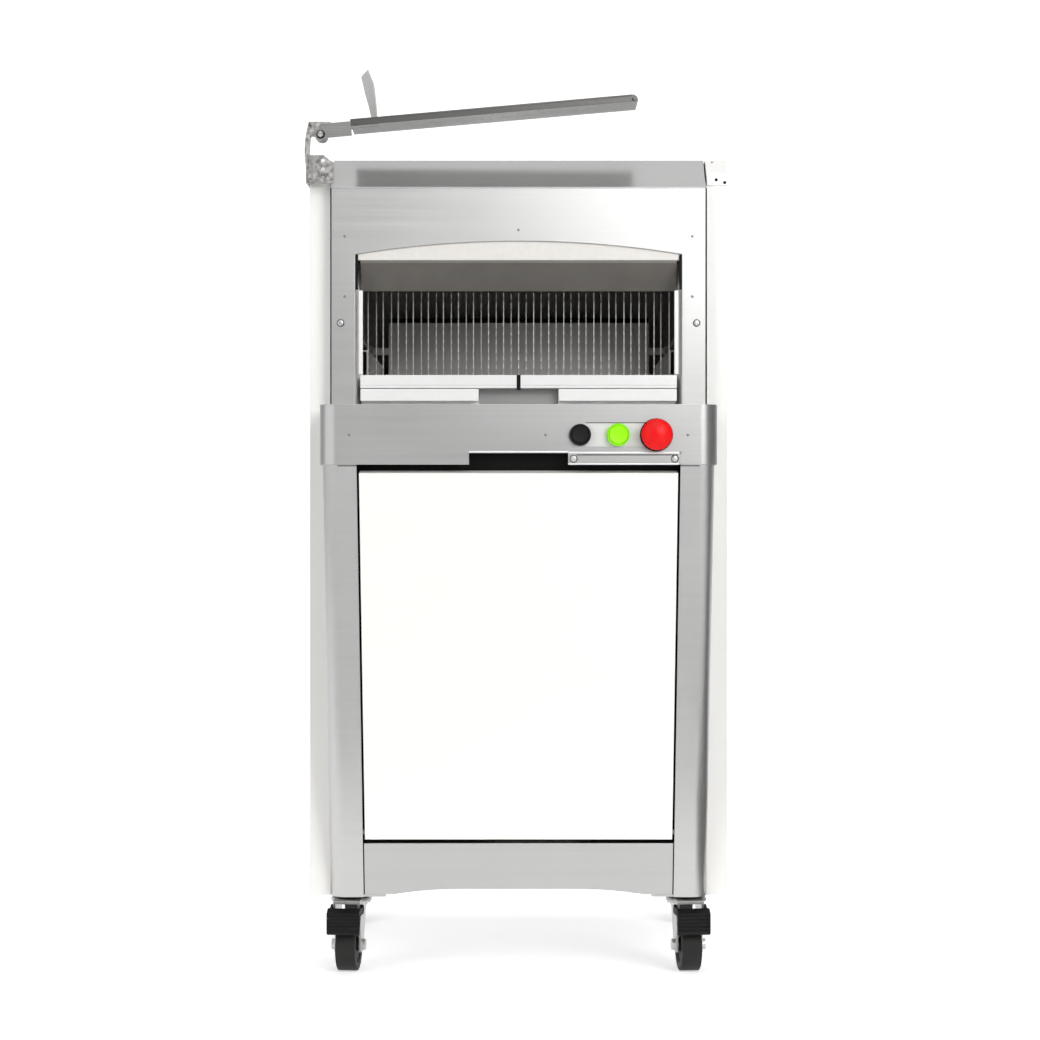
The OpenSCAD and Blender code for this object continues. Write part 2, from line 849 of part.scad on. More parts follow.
// Bent strip up from the bracket, with the block that holds the pivot
module scoop_post() {
  strip_left = -half_w - sheet;
  strip_t = 6;
  strip_drop = 63;
  strip_low = pivot_z - strip_drop;
  strip_rise = 20;
  strip_high = pivot_z + strip_rise;
  sag = 6;
  half_chord = (strip_high - strip_low) / 2;
  bend_r = (half_chord * half_chord + sag * sag) / (2 * sag);
  block_past = 13;
  block_right = pivot_x + block_past;
  block_left = strip_left + sag;
  eye_r = 9;
  color("silver") difference() {
    union() {
      back(post_front, bracket_front) intersection() {
        translate([strip_left + bend_r, (strip_low + strip_high) / 2]) difference() {
          circle(bend_r, $fn = 160);
          circle(bend_r - strip_t, $fn = 160);
        }
        translate([strip_left - eps, strip_low]) square([sag + strip_t + eps, 2 * half_chord]);
      }
      slab(block_left, block_right, post_front, post_front + post_block_d, pivot_z, strip_high);
      bar_y(post_front, post_front + post_block_d, pivot_x, pivot_z, eye_r);
    }
    bar_y(post_front - eps, bracket_front + eps, pivot_x, pivot_z, bolt_r + run_clear);
  }
}

// Bolt through the scoop's arm and the post's block
module scoop_pivot_bolt() {
  head_t = 5;
  head_r = 7;
  color("gray") {
    bar_y(scoop_arm_front - part_clear - eps, post_front + post_block_d, pivot_x, pivot_z, bolt_r);
    bar_y(scoop_arm_front - part_clear - head_t, scoop_arm_front - part_clear, pivot_x, pivot_z, head_r);
  }
}

// The scoop's own frame, tilted up about its pivot
module on_scoop() {
  translate([pivot_x, 0, pivot_z]) rotate([0, -scoop_tilt, 0]) children();
}

// Arm from the pivot to the end of the scoop, with a tongue under it
module scoop_arm() {
  eye_r = 8.5;
  arm_low = -4;
  arm_step = 3;
  arm_high = scoop_floor + scoop_lip - arm_step;
  tongue = 40;
  color("darkgray") on_scoop() difference() {
    union() {
      bar_y(scoop_arm_front, scoop_arm_front + arm_d, 0, 0, eye_r);
      slab(0, scoop_start, scoop_arm_front, scoop_arm_front + arm_d, arm_low, arm_high);
      slab(0, scoop_start + tongue, scoop_arm_front, scoop_arm_front + arm_d,
           scoop_floor - sheet, scoop_floor);
    }
    bar_y(scoop_arm_front - eps, scoop_arm_front + arm_d + eps, 0, 0, bolt_r + run_clear);
  }
}

// Long shallow tray that a loaf slides along into its bag
module bagging_scoop() {
  front = scoop_mid_y - scoop_depth / 2;
  rear = scoop_mid_y + scoop_depth / 2;
  end_r = scoop_lip - scoop_sheet;
  end = scoop_start + scoop_len;
  color("darkgray") on_scoop() {
    slab(scoop_start, end, front, rear, scoop_floor, scoop_floor + scoop_sheet);
    for (y = [front, rear - scoop_sheet]) back(y, y + scoop_sheet) {
      translate([scoop_start, scoop_floor]) square([scoop_len - end_r, scoop_lip]);
      translate([scoop_start, scoop_floor]) square([scoop_len, scoop_sheet]);
      intersection() {
        translate([end - end_r, scoop_floor + scoop_lip - end_r]) circle(end_r);
        translate([end - end_r - eps, scoop_floor]) square([end_r + eps, scoop_lip]);
      }
    }
  }
}

// Curved paddle that stands up on the scoop near its arm
module scoop_end_stop() {
  paddle_in = 34;
  paddle_turn = 15;
  bow = 8;
  foot = 12;
  shoulder_in = 4;
  crown_in = 8;
  crown_front_in = 16;
  root_x = scoop_start + paddle_in;
  base_z = scoop_floor + scoop_sheet;
  shoulder_z = base_z + paddle_h * 0.7;
  half_d = scoop_depth / 2;
  bend_r = (paddle_h * paddle_h + bow * bow) / (2 * bow);
  color("lightgray") on_scoop()
  translate([root_x, scoop_mid_y, 0]) rotate([0, 0, paddle_turn]) intersection() {
    back(-half_d, half_d) intersection() {
      translate([-bend_r, base_z]) difference() {
        circle(bend_r, $fn = 120);
        circle(bend_r - scoop_sheet, $fn = 120);
      }
      translate([-2 * bow, base_z]) square([2 * bow + eps, paddle_h]);
    }
    across(-3 * bow, bow)
      polygon([[-foot, base_z - eps], [foot, base_z - eps],
               [half_d - shoulder_in, shoulder_z], [half_d - crown_in, base_z + paddle_h + eps],
               [crown_front_in - half_d, base_z + paddle_h + eps], [shoulder_in - half_d, shoulder_z]]);
  }
}

// White plate on the right front corner of the cabinet
module right_corner_bracket() {
  edge_gap = 1;
  plate_drop = 40;
  chamfer_gap = 2;
  color("white") slab(chassis_out + edge_gap, half_w - edge_gap, panel_front - sheet, panel_front,
                      hood_top - plate_drop, hood_top - panel_chamfer - chamfer_gap);
}

// The four casters stand at these places
module at_caster(side, y) {
  x = half_w - (y < 0 ? front_caster_inset : rear_caster_inset);
  translate([side * x, y, 0]) children();
}

// The front casters' moving parts are turned outwards about their swivel axes
module at_front(side) {
  at_caster(side, front_swivel_y) rotate([0, 0, side * front_toe]) children();
}

// A caster's top plate with its swivel boss and pin
module caster_plates() {
  keeper_r = 9;
  keeper_t = 4;
  web_low = fork_top - fork_web;
  color("silver") for (side = [-1, 1], y = [front_swivel_y, rear_swivel_y]) at_caster(side, y) {
    slab(-caster_plate / 2, caster_plate / 2, -caster_plate / 2, caster_plate / 2,
         body_base - plate_t, body_base);
    bar_z(body_base - plate_t - boss_h, body_base - plate_t, 0, 0, boss_r);
    bar_z(web_low - keeper_t, body_base - plate_t - boss_h, 0, 0, swivel_r);
    bar_z(web_low - keeper_t, web_low - part_clear, 0, 0, keeper_r);
  }
}

// A pressed steel fork with its axle
module fork(pedal_pins) {
  horn_gap = 7;
  front = pedal_pin_y - horn_gap;
  rear = 16;
  foot = 10;
  horn_drop = 22;
  tail_drop = 12;
  nut_r = 8;
  nut_t = 5;
  pin_short = 1;
  pin_out = pedal_w / 2 - pin_short;
  color("silver") {
    difference() {
      slab(-fork_out, fork_out, front, rear, fork_top - fork_web, fork_top);
      bar_z(fork_top - fork_web - eps, fork_top + eps, 0, 0, swivel_r + run_clear);
    }
    both_sides() across(fork_in, fork_out)
      polygon([[front, fork_top], [rear, fork_top], [rear, fork_top - tail_drop],
               [-caster_trail + foot, axle_z - foot], [-caster_trail - foot, axle_z - foot],
               [-caster_trail - foot, axle_z + foot], [front, fork_top - horn_drop]]);
    bar_x(-fork_out - eps, fork_out + eps, -caster_trail, axle_z, axle_r);
    both_sides() bar_x(fork_out, fork_out + nut_t, -caster_trail, axle_z, nut_r);
    if (pedal_pins) both_sides() bar_x(fork_out - eps, pin_out, pedal_pin_y, pedal_pin_z, pedal_pin_r);
  }
}
module front_left_fork() { at_front(-1) fork(true); }
module front_right_fork() { at_front(1) fork(true); }
module rear_left_fork() { at_caster(-1, rear_swivel_y) fork(false); }
module rear_right_fork() { at_caster(1, rear_swivel_y) fork(false); }

// A black wheel with a rounded tread and a dished hub
module wheel() {
  shoulder = 5;
  tread = wheel_d / 2;
  half = wheel_w / 2;
  bore = axle_r + run_clear;
  hub_r = 13;
  dish = 3;
  color("black") translate([0, -caster_trail, axle_z]) rotate([0, 90, 0]) rotate_extrude() difference() {
    union() {
      translate([bore, -half]) square([tread - shoulder - bore, wheel_w]);
      translate([tread - shoulder - eps, -half + shoulder]) square([shoulder + eps, wheel_w - 2 * shoulder]);
      for (s = [-1, 1]) translate([tread - shoulder, s * (half - shoulder)]) circle(shoulder);
    }
    for (s = [-1, 1]) translate([hub_r, s * half - dish]) square([tread - 2 * shoulder - hub_r, 2 * dish]);
  }
}
module front_left_wheel() { at_front(-1) wheel(); }
module front_right_wheel() { at_front(1) wheel(); }
module rear_left_wheel() { at_caster(-1, rear_swivel_y) wheel(); }
module rear_right_wheel() { at_caster(1, rear_swivel_y) wheel(); }

// A moulded foot pedal that turns on the fork's two pins
module pedal() {
  pad_ahead = 19;
  pad_y = pedal_pin_y - pad_ahead;
  pad_drop = 32;
  low = pedal_pin_z - pad_drop;
  pad_t = 20;
  toe_rise = 3;
  heel = 12;
  waist = 7;
  waist_rise = 18;
  crest = 10;
  crest_rise = 6;
  ear_r = 7;
  ear_drop = 6;
  ear_rise = 4;
  ear_tail = 8;
  ear_in = fork_out + part_clear;
  color("black") difference() {
    union() {
      across(-pedal_w / 2, pedal_w / 2)
        polygon([[pad_y - pad_t, low + toe_rise], [pad_y - heel, low], [pad_y - waist, low + waist_rise],
                 [pad_y, pedal_pin_z + ear_rise], [pad_y - crest, pedal_pin_z + crest_rise],
                 [pad_y - pad_t, pedal_pin_z]]);
      both_sides() {
        bar_x(ear_in, pedal_w / 2, pedal_pin_y, pedal_pin_z, ear_r);
        slab(ear_in, pedal_w / 2, pad_y - ear_tail, pedal_pin_y,
             pedal_pin_z - ear_drop, pedal_pin_z + ear_rise);
      }
    }
    both_sides() bar_x(ear_in - eps, pedal_w / 2 + eps, pedal_pin_y, pedal_pin_z, pedal_pin_r + run_clear);
  }
}
module left_brake_pedal() { at_front(-1) pedal(); }
module right_brake_pedal() { at_front(1) pedal(); }

// One reciprocating frame: two beams, two posts, four guide lugs and two yokes
module blade_frame(side) {
  y = blade_y + side * frame_step;
  near = y - frame_t / 2;
  far = y + frame_t / 2;
  inner = frame_gap / 2;
  outer = inner + frame_t;
  slot_half = roller_r + 3;
  yoke_out = rocker_arm + slot_half + 6;
  yoke_in = rocker_arm - slot_half - 5;
  drop = 20;
  beams = [[low_beam_z, low_beam_top], [high_beam_z, high_beam_top]];
  yoke = [[inner, low_beam_z + eps], [inner, low_beam_z - drop], [yoke_in, rocker_z + yoke_low + 4],
          [yoke_in, rocker_z - yoke_low], [yoke_out, rocker_z - yoke_low], [yoke_out, rocker_z + yoke_low],
          [rocker_arm, rocker_z + yoke_low + 14], [outer, low_beam_z + eps]];
  color("gray") difference() {
    union() {
      for (b = beams) slab(-post_out, post_out, near, far, b[0], b[1]);
      both_sides() {
        slab(post_in, post_out, near, far, low_beam_top - eps, high_beam_z + eps);
        for (b = beams) {
          slab(post_out - eps, guide_x, near, far, b[0], b[1]);
          bar_z(b[0], b[1], guide_x, y, lug_r);
        }
        across(yoke_x - yoke_t / 2, yoke_x + yoke_t / 2)
          polygon([for (p = yoke) [blade_y + side * p[0], p[1]]]);
      }
    }
    both_sides() {
      bar_z(low_beam_z - eps, high_beam_top + eps, guide_x, y, guide_r + run_clear);
      slab(yoke_x - yoke_t, yoke_x + yoke_t, blade_y + side * rocker_arm - slot_half,
           blade_y + side * rocker_arm + slot_half, rocker_z - roller_r - part_clear,
           rocker_z + roller_r + part_clear);
    }
  }
}
module front_blade_frame() { blade_frame(-1); }
module rear_blade_frame() { blade_frame(1); }

// One upright blade between the beams of its frame
module blade(x, y) {
  slab(x - blade_t / 2, x + blade_t / 2, y - blade_depth / 2, y + blade_depth / 2, low_beam_top, high_beam_z);
}
module front_blades() {
  color("silver") for (i = [-blade_side:blade_side]) blade(2 * i * blade_pitch, front_y);
}
module rear_blades() {
  color("silver") for (i = [-blade_side:blade_side - 1]) blade((2 * i + 1) * blade_pitch, rear_y);
}

// Upright rods for the blade frames and level rods for the pusher
module guide_rods() {
  color("lightgray") both_sides() {
    for (y = [front_y, rear_y]) bar_z(guide_low, guide_high, guide_x, y, guide_r);
    bar_y(pusher_block_back, rear_in, pusher_rod_x, pusher_rod_z, guide_r);
  }
}

// A block on the chassis with a bore for a shaft
module shaft_bearing(y, z, r) {
  half = bearing_h / 2;
  difference() {
    slab(chassis_in - block_in, chassis_in, y - half, y + half, z - half, z + half);
    bar_x(chassis_in - block_in - eps, chassis_in + eps, y, z, r + run_clear);
  }
}

// Blocks on the chassis that hold the rods and the two shafts
module bearing_blocks() {
  rod_block = 12;
  color("dimgray") both_sides() {
    for (z = [guide_low - block_h, guide_high])
      slab(chassis_in - block_in, chassis_in, blade_y - block_d / 2, blade_y + block_d / 2, z, z + block_h);
    shaft_bearing(blade_y, rocker_z, rocker_r);
    shaft_bearing(crank_y, crank_z, crank_r);
    slab(pusher_rod_x - rod_block, chassis_in, trough_front, pusher_block_back,
         pusher_rod_z - rod_block, pusher_rod_z + rod_block);
  }
}

// A flat lever outline between a hub and an eye
module lever_outline(y0, z0, r0, y1, z1, r1) {
  width = 1.4 * r1;
  reach = sqrt(pow(y1 - y0, 2) + pow(z1 - z0, 2));
  translate([y0, z0]) circle(r0);
  translate([y1, z1]) circle(r1);
  translate([y0, z0]) rotate(atan2(z1 - z0, y1 - y0)) translate([0, -width / 2]) square([reach, width]);
}

// Rocking shaft with two double arms for the blade frames and one driven arm
module rocker_lever() {
  hub_r = 18;
  eye_r = 10;
  roller_pin_r = 5;
  side_gap = 0.5;
  color("gray") {
    bar_x(-chassis_in + 2, chassis_in - 2, blade_y, rocker_z, rocker_r);
    both_sides() for (s = [-1, 1]) {
      end_y = blade_y + s * rocker_arm;
      across(arm_x, arm_x + arm_t) lever_outline(blade_y, rocker_z, hub_r, end_y, rocker_z, eye_r);
      bar_x(arm_x + arm_t - eps, yoke_x + yoke_t / 2 + 2, end_y, rocker_z, roller_pin_r);
      bar_x(yoke_x - yoke_t / 2 + side_gap, yoke_x + yoke_t / 2 - side_gap, end_y, rocker_z, roller_r);
    }
    across(drive_x, drive_x + arm_t) lever_outline(blade_y, rocker_z, hub_r, crank_y, rocker_z, eye_r + 2);
    bar_x(drive_x + arm_t - eps, rod_x0 - side_gap, crank_y, rocker_z, rod_pin_r);
  }
}

// Rod from the eccentric up to the rocker's driven arm
module connecting_rod() {
  big_r = eccentric_r + 10;
  small_r = 15;
  color("darkgray") across(rod_x0, rod_x0 + rod_t) difference() {
    lever_outline(eccentric_y, crank_z, big_r, crank_y, rocker_z, small_r);
    translate([eccentric_y, crank_z]) circle(eccentric_r + run_clear);
    translate([crank_y, rocker_z]) circle(rod_pin_r + run_clear);
  }
}

// Crankshaft with its eccentric and its belt pulley
module crankshaft() {
  color("gray") {
    bar_x(-chassis_in + 2, chassis_in - 2, crank_y, crank_z, crank_r);
    bar_x(rod_x0, rod_x0 + rod_t, eccentric_y, crank_z, eccentric_r);
    bar_x(belt_x, belt_x + belt_w, crank_y, crank_z, big_pulley_r);
  }
}

// Electric motor on the base plate
module motor() {
  foot_half = 45;
  foot_in = 20;
  color("slategray") difference() {
    union() {
      bar_x(motor_x1 - motor_len, motor_x1, motor_y, motor_z, motor_r);
      slab(motor_x1 - motor_len + foot_in, motor_x1 - foot_in, motor_y - foot_half, motor_y + foot_half,
           base_top, motor_z);
    }
    bar_x(motor_x1 - motor_bore, motor_x1 + eps, motor_y, motor_z, motor_shaft_r + run_clear);
  }
}

// Motor shaft with its pulley
module motor_pulley() {
  color("gray") {
    bar_x(motor_x1 - motor_bore + 2, belt_x + belt_w + 4, motor_y, motor_z, motor_shaft_r);
    bar_x(belt_x, belt_x + belt_w, motor_y, motor_z, small_pulley_r);
  }
}

// Points along an arc about a centre in Y and Z
function arc_points(y, z, r, from, to) =
  [for (i = [0:belt_steps]) let (a = from + (to - from) * i / belt_steps) [y + r * cos(a), z + r * sin(a)]];

// Outline round both pulleys at a given distance from their rims
module belt_outline(gap) {
  run_y = motor_y - crank_y;
  run_z = motor_z - crank_z;
  slope = atan2(run_z, run_y);
  wrap = acos((big_pulley_r - small_pulley_r) / sqrt(run_y * run_y + run_z * run_z));
  polygon(concat(arc_points(crank_y, crank_z, big_pulley_r + gap, slope + wrap, slope - wrap + 360),
                 arc_points(motor_y, motor_z, small_pulley_r + gap, slope - wrap, slope + wrap)));
}
module drive_belt() {
  edge = 0.5;
  color("black") across(belt_x + edge, belt_x + belt_w - edge) difference() {
    belt_outline(part_clear + belt_t);
    belt_outline(part_clear);
  }
}

// Trough that a loaf lies in behind the blades
module infeed_table() {
  trough_top = rest_top + trough_h;
  color("gainsboro") {
    slab(-trough_half, trough_half, trough_front, rear_in, rest_top - sheet, rest_top);
    both_sides() {
      slab(trough_half - sheet, trough_half, trough_front, rear_in, rest_top - eps, trough_top);
      slab(trough_half - eps, chassis_in, trough_front, rear_in, trough_top - sheet, trough_top);
    }
  }
}

// Plate that drives the loaf forward, on two level rods
module pusher() {
  lift = 3;
  arm_half = 6;
  mid = pusher_y + pusher_t / 2;
  color("gainsboro") difference() {
    union() {
      slab(-pusher_half, pusher_half, pusher_y, pusher_y + pusher_t,
           rest_top + lift, rest_top + lift + pusher_h);
      both_sides() {
        slab(pusher_half - eps, pusher_rod_x, pusher_y, pusher_y + pusher_t,
             pusher_rod_z - arm_half, pusher_rod_z + arm_half);
        bar_y(mid - pusher_lug_len / 2, mid + pusher_lug_len / 2, pusher_rod_x, pusher_rod_z, pusher_lug_r);
      }
    }
    both_sides()
      bar_y(mid - pusher_lug_len, mid + pusher_lug_len, pusher_rod_x, pusher_rod_z, guide_r + run_clear);
  }
}

// Steel lid over the infeed, rolled round its hinge pins, with a grip at the back
module loading_lid() {
  grip_half = 70;
  grip = 16;
  color("silver") difference() {
    union() {
      slab(-lid_half, lid_half, lid_y, body_back, hood_under + part_clear, hood_top);
      slab(-grip_half, grip_half, body_back - eps, body_back + grip, hood_under + part_clear, hood_top);
      bar_x(-lid_half, lid_half, lid_y, lid_z, knuckle_r);
    }
    bar_x(-lid_half - eps, lid_half + eps, lid_y, lid_z, lid_pin_r + run_clear);
  }
}

// Box with the switch blocks, under the table's top
module control_box() {
  past_black = 14;
  past_red = 32;
  apron_room = 45;
  face_room = 20;
  floor_rise = 20;
  color("dimgray") slab(black_x - past_black, red_x + past_red, table_front + apron_room, face_y - face_room,
                        table_under + floor_rise, deck_z);
}

// Empty cable gland in the rear panel
module cord_gland() {
  bore_r = 5;
  nut_r = 14;
  nut_t = 12;
  inside = 8;
  outside = 29;
  color("black") difference() {
    union() {
      bar_y(rear_in - inside, body_back + outside, gland_x, gland_z, gland_r - run_clear);
      bar_y(body_back, body_back + nut_t, gland_x, gland_z, nut_r);
    }
    bar_y(rear_in - inside - eps, body_back + outside + eps, gland_x, gland_z, bore_r);
  }
}

base_plate();
chassis_plates();
left_side_panel();
right_side_panel();
rear_panel();
top_hood();
front_face();
arch_visor();
lintel();
cheeks();
rest_plates();
outfeed_table();
left_leg();
right_leg();
door_frame();
lower_crossbar();
front_door();
crumb_bin();
hinge_pins();
button_collars();
black_button();
green_button();
red_stop_button();
cover_strip();
panel_screws();
scoop_bracket();
scoop_post();
scoop_pivot_bolt();
scoop_arm();
bagging_scoop();
scoop_end_stop();
right_corner_bracket();
caster_plates();
front_left_fork();
front_right_fork();
rear_left_fork();
rear_right_fork();
front_left_wheel();
front_right_wheel();
rear_left_wheel();
rear_right_wheel();
left_brake_pedal();
right_brake_pedal();
front_blade_frame();
rear_blade_frame();
front_blades();
rear_blades();
guide_rods();
bearing_blocks();
rocker_lever();
connecting_rod();
crankshaft();
motor();
motor_pulley();
drive_belt();
infeed_table();
pusher();
loading_lid();
control_box();
cord_gland();
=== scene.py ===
import math
import bpy
from mathutils import Matrix, Vector


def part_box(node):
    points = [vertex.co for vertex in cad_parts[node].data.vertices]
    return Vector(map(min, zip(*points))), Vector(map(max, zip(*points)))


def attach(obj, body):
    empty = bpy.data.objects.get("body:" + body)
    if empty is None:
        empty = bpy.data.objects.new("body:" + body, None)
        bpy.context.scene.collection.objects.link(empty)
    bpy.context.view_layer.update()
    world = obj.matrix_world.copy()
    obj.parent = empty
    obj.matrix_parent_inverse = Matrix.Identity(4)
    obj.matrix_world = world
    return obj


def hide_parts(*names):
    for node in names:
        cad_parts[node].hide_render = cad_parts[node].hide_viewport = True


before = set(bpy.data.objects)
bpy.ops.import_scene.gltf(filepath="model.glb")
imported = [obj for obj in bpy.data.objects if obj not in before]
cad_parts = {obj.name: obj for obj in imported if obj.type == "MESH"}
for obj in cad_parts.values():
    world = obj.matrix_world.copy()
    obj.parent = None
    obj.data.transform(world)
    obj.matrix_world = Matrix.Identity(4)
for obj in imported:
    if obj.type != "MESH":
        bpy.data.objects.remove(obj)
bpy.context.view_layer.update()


def clear_selection():
    """Leaves edit mode and deselects every object."""
    if bpy.context.object and bpy.context.object.mode != "OBJECT":
        bpy.ops.object.mode_set(mode="OBJECT")
    bpy.ops.object.select_all(action="DESELECT")


class Wire:
    """One output socket of a shader node. Sums and products of wires add their Math nodes."""

    def __init__(self, tree, socket=None):
        self.tree = tree
        self.socket = socket

    def node(self, kind, settings=None, sockets=None, out=0):
        """Adds a node, sets its settings and then its sockets, and gives one of its outputs."""
        made = self.tree.nodes.new("ShaderNode" + kind)
        for key, value in (settings or {}).items():
            setattr(made, key, value)
        for key, value in (sockets or {}).items():
            if isinstance(value, Wire):
                self.tree.links.new(value.socket, made.inputs[key])
            else:
                made.inputs[key].default_value = value
        return Wire(self.tree, made.outputs[out])

    def math(self, operation, first, second):
        """A Math node on two values."""
        return self.node("Math", {"operation": operation}, {0: first, 1: second})

    def __add__(self, other):
        return self.math("ADD", self, other)

    def __sub__(self, other):
        return self.math("SUBTRACT", self, other)

    def __mul__(self, other):
        return self.math("MULTIPLY", self, other)

    def __rsub__(self, other):
        return self.math("SUBTRACT", other, self)

    __radd__ = __add__
    __rmul__ = __mul__

    def held(self):
        """The value held between 0 and 1."""
        return self.node("Clamp", None, {"Value": self})

    def noise(self, stretch, detail=3.0):
        """Cloudy noise, so many waves to the metre on every axis or, from three numbers, on each."""
        scale = stretch if isinstance(stretch, tuple) else (stretch, stretch, stretch)
        spread = self.node("Mapping", None, {"Vector": self, "Scale": scale})
        return self.node("TexNoise", None, {"Vector": spread, "Scale": 1.0, "Detail": detail})

    def tint(self, low, high):
        """A colour between two, by the value."""
        return self.node("Mix", {"data_type": "RGBA"}, {0: self, 6: low, 7: high}, 2)

    def into(self, shader, socket):
        """Links the value to a socket of a shader."""
        self.tree.links.new(self.socket, shader.inputs[socket])


def finish(name, **sockets):
    """A new material with some sockets set: the material, its shader and its Object coordinates."""
    made = bpy.data.materials.new(name)
    made.use_nodes = True
    shader = made.node_tree.nodes["Principled BSDF"]
    for key, value in sockets.items():
        shader.inputs[key.replace("_", " ")].default_value = value
    place = Wire(made.node_tree).node("TexCoord", out="Object")
    return made, shader, place


paper, paper_shader, paper_place = finish("pale_paper", Roughness=0.9, Specular_IOR_Level=0.1, Emission_Strength=0.5)
fibre = paper_place.noise(60.0)
fibre.tint((0.90, 0.90, 0.90, 1), (0.92, 0.92, 0.92, 1)).into(paper_shader, "Base Color")
depth = paper_place.node("SeparateXYZ", None, {0: paper_place}, "Y")
glow_ahead, glow_rate = 0.8, 4.0
behind = ((depth + glow_ahead) * glow_rate).held()
behind.tint((0, 0, 0, 1), (1, 1, 1, 1)).into(paper_shader, "Emission Color")

floor_middle, floor_width, floor_length = (0, 1.0, 0), 16, 11
bend_folds, fold_length, wall_height = 12, 0.22, 6
clear_selection()
bpy.ops.mesh.primitive_plane_add(size=1, location=floor_middle)
sweep = bpy.context.object
sweep.name = "paper_sweep"
bpy.ops.object.mode_set(mode="EDIT")
bpy.ops.transform.resize(value=(floor_width, floor_length, 1), center_override=floor_middle)
bpy.ops.mesh.select_all(action="DESELECT")
bpy.ops.object.mode_set(mode="OBJECT")
for edge in sweep.data.edges:
    ends = [sweep.matrix_world @ sweep.data.vertices[i].co for i in edge.vertices]
    edge.select = all(end.y > floor_length / 2 for end in ends)
bpy.ops.object.mode_set(mode="EDIT")
bpy.ops.mesh.select_mode(type="EDGE")
for fold in range(bend_folds):
    angle = math.radians(90 / bend_folds * (fold + 0.5))
    step = (0, fold_length * math.cos(angle), fold_length * math.sin(angle))
    bpy.ops.mesh.extrude_region_move(TRANSFORM_OT_translate={"value": step})
bpy.ops.mesh.extrude_region_move(TRANSFORM_OT_translate={"value": (0, 0, wall_height)})
bpy.ops.mesh.select_all(action="SELECT")
bpy.ops.mesh.normals_make_consistent(inside=False)
bpy.ops.object.mode_set(mode="OBJECT")
bpy.ops.object.transform_apply(location=True, rotation=True, scale=True)
bpy.ops.object.shade_smooth()
sweep.data.materials.append(paper)

studio = bpy.data.worlds.new("studio_air")
bpy.context.scene.world = studio
studio.use_nodes = True
air_glow = studio.node_tree.nodes["Background"].inputs
air_glow["Color"].default_value = (1.0, 1.0, 1.0, 1)
air_glow["Strength"].default_value = 0.50
studio.cycles_visibility.diffuse = False


def soft_light(name, place, aim, width, height, watts, lights=True, mirrors=True):
    """A soft rectangular light that lights matt surfaces, shows in steel, or does both."""
    lamp = bpy.data.lights.new(name, "AREA")
    lamp.shape = "RECTANGLE"
    lamp.size = width
    lamp.size_y = height
    lamp.energy = watts
    stand = bpy.data.objects.new(name, lamp)
    bpy.context.scene.collection.objects.link(stand)
    stand.location = place
    stand.rotation_euler = (Vector(aim) - Vector(place)).to_track_quat("-Z", "Y").to_euler()
    stand.visible_camera = False
    stand.visible_diffuse = lights
    stand.visible_glossy = mirrors


soft_light("right_softbox", (2.2, -3.2, 2.0), (0.1, -0.2, 0.8), 2.0, 2.4, 98.0, mirrors=False)
soft_light("left_softbox", (-2.6, -3.0, 2.0), (0, -0.1, 0.8), 2.0, 2.4, 58.0, mirrors=False)
soft_light("right_mirror", (1.3, -3.6, 2.3), (0.1, -0.2, 0.9), 2.2, 2.0, 62.0, lights=False)
soft_light("low_mirror", (1.45, -3.1, 0.9), (0.2, -0.3, 0.8), 1.8, 0.9, 5.6, lights=False)
soft_light("left_mirror", (-2.3, -1.9, 1.0), (-0.25, -0.3, 0.8), 3.6, 1.8, 15.0, lights=False)
soft_light("front_top", (0, -2.3, 3.5), (0, -0.9, 0), 3.0, 1.8, 23.0)
soft_light("hood_panel", (0, 0.2, 3.3), (0, 0.2, 0), 3.2, 2.2, 12.0)
soft_light("overhead_softbox", (0.2, 1.9, 3.6), (0, 0.3, 0.6), 3.2, 2.0, 45.0, mirrors=False)
soft_light("wall_wash", (0, 2.6, 3.6), (0, 6.8, 1.2), 9.0, 1.0, 150.0)

flag, flag_shader, flag_place = finish("grey_flag_cloth", Roughness=1.0, Specular_IOR_Level=0.0)
thread = flag_place.noise(200.0)
thread.tint((0.24, 0.24, 0.24, 1), (0.26, 0.26, 0.26, 1)).into(flag_shader, "Base Color")
for name, place, lean, width, length in (("upright_flag", (2.5, -0.8, 1.2), -90, 2.4, 3.4),
                                         ("floor_flag", (1.45, 0.1, 0.004), 0, 2.0, 1.5)):
    clear_selection()
    bpy.ops.mesh.primitive_plane_add(size=1, location=place, rotation=(0, math.radians(lean), 0))
    screen = bpy.context.object
    screen.name = name
    screen.scale = (width, length, 1)
    bpy.ops.object.transform_apply(location=True, rotation=True, scale=True)
    screen.data.materials.append(flag)
    screen.visible_camera = False
    screen.visible_diffuse = False
    screen.visible_shadow = False

shot = bpy.data.cameras.new("level_camera")
shot.sensor_width = 36.0
shot.lens = 76.18
shot.clip_end = 60.0
tripod = bpy.data.objects.new("level_camera", shot)
bpy.context.scene.collection.objects.link(tripod)
tripod.location = (0.002, -3.335, 0.652)
tripod.rotation_euler = (math.radians(90), 0, 0)
bpy.context.scene.camera = tripod
bpy.context.scene.view_settings.view_transform = "Standard"

# Chassis, floor and infeed trough: bare folded sheet, bolted together, that carries all the rest.
# The panels, the face and the hood hide it.
def select_only(piece):
    """Leaves a piece as the one object that is selected and active."""
    clear_selection()
    bpy.context.view_layer.objects.active = piece
    piece.select_set(True)


def edit_all(piece):
    """Takes a piece to edit mode with its whole mesh selected."""
    select_only(piece)
    bpy.ops.object.mode_set(mode="EDIT")
    bpy.ops.mesh.select_all(action="SELECT")


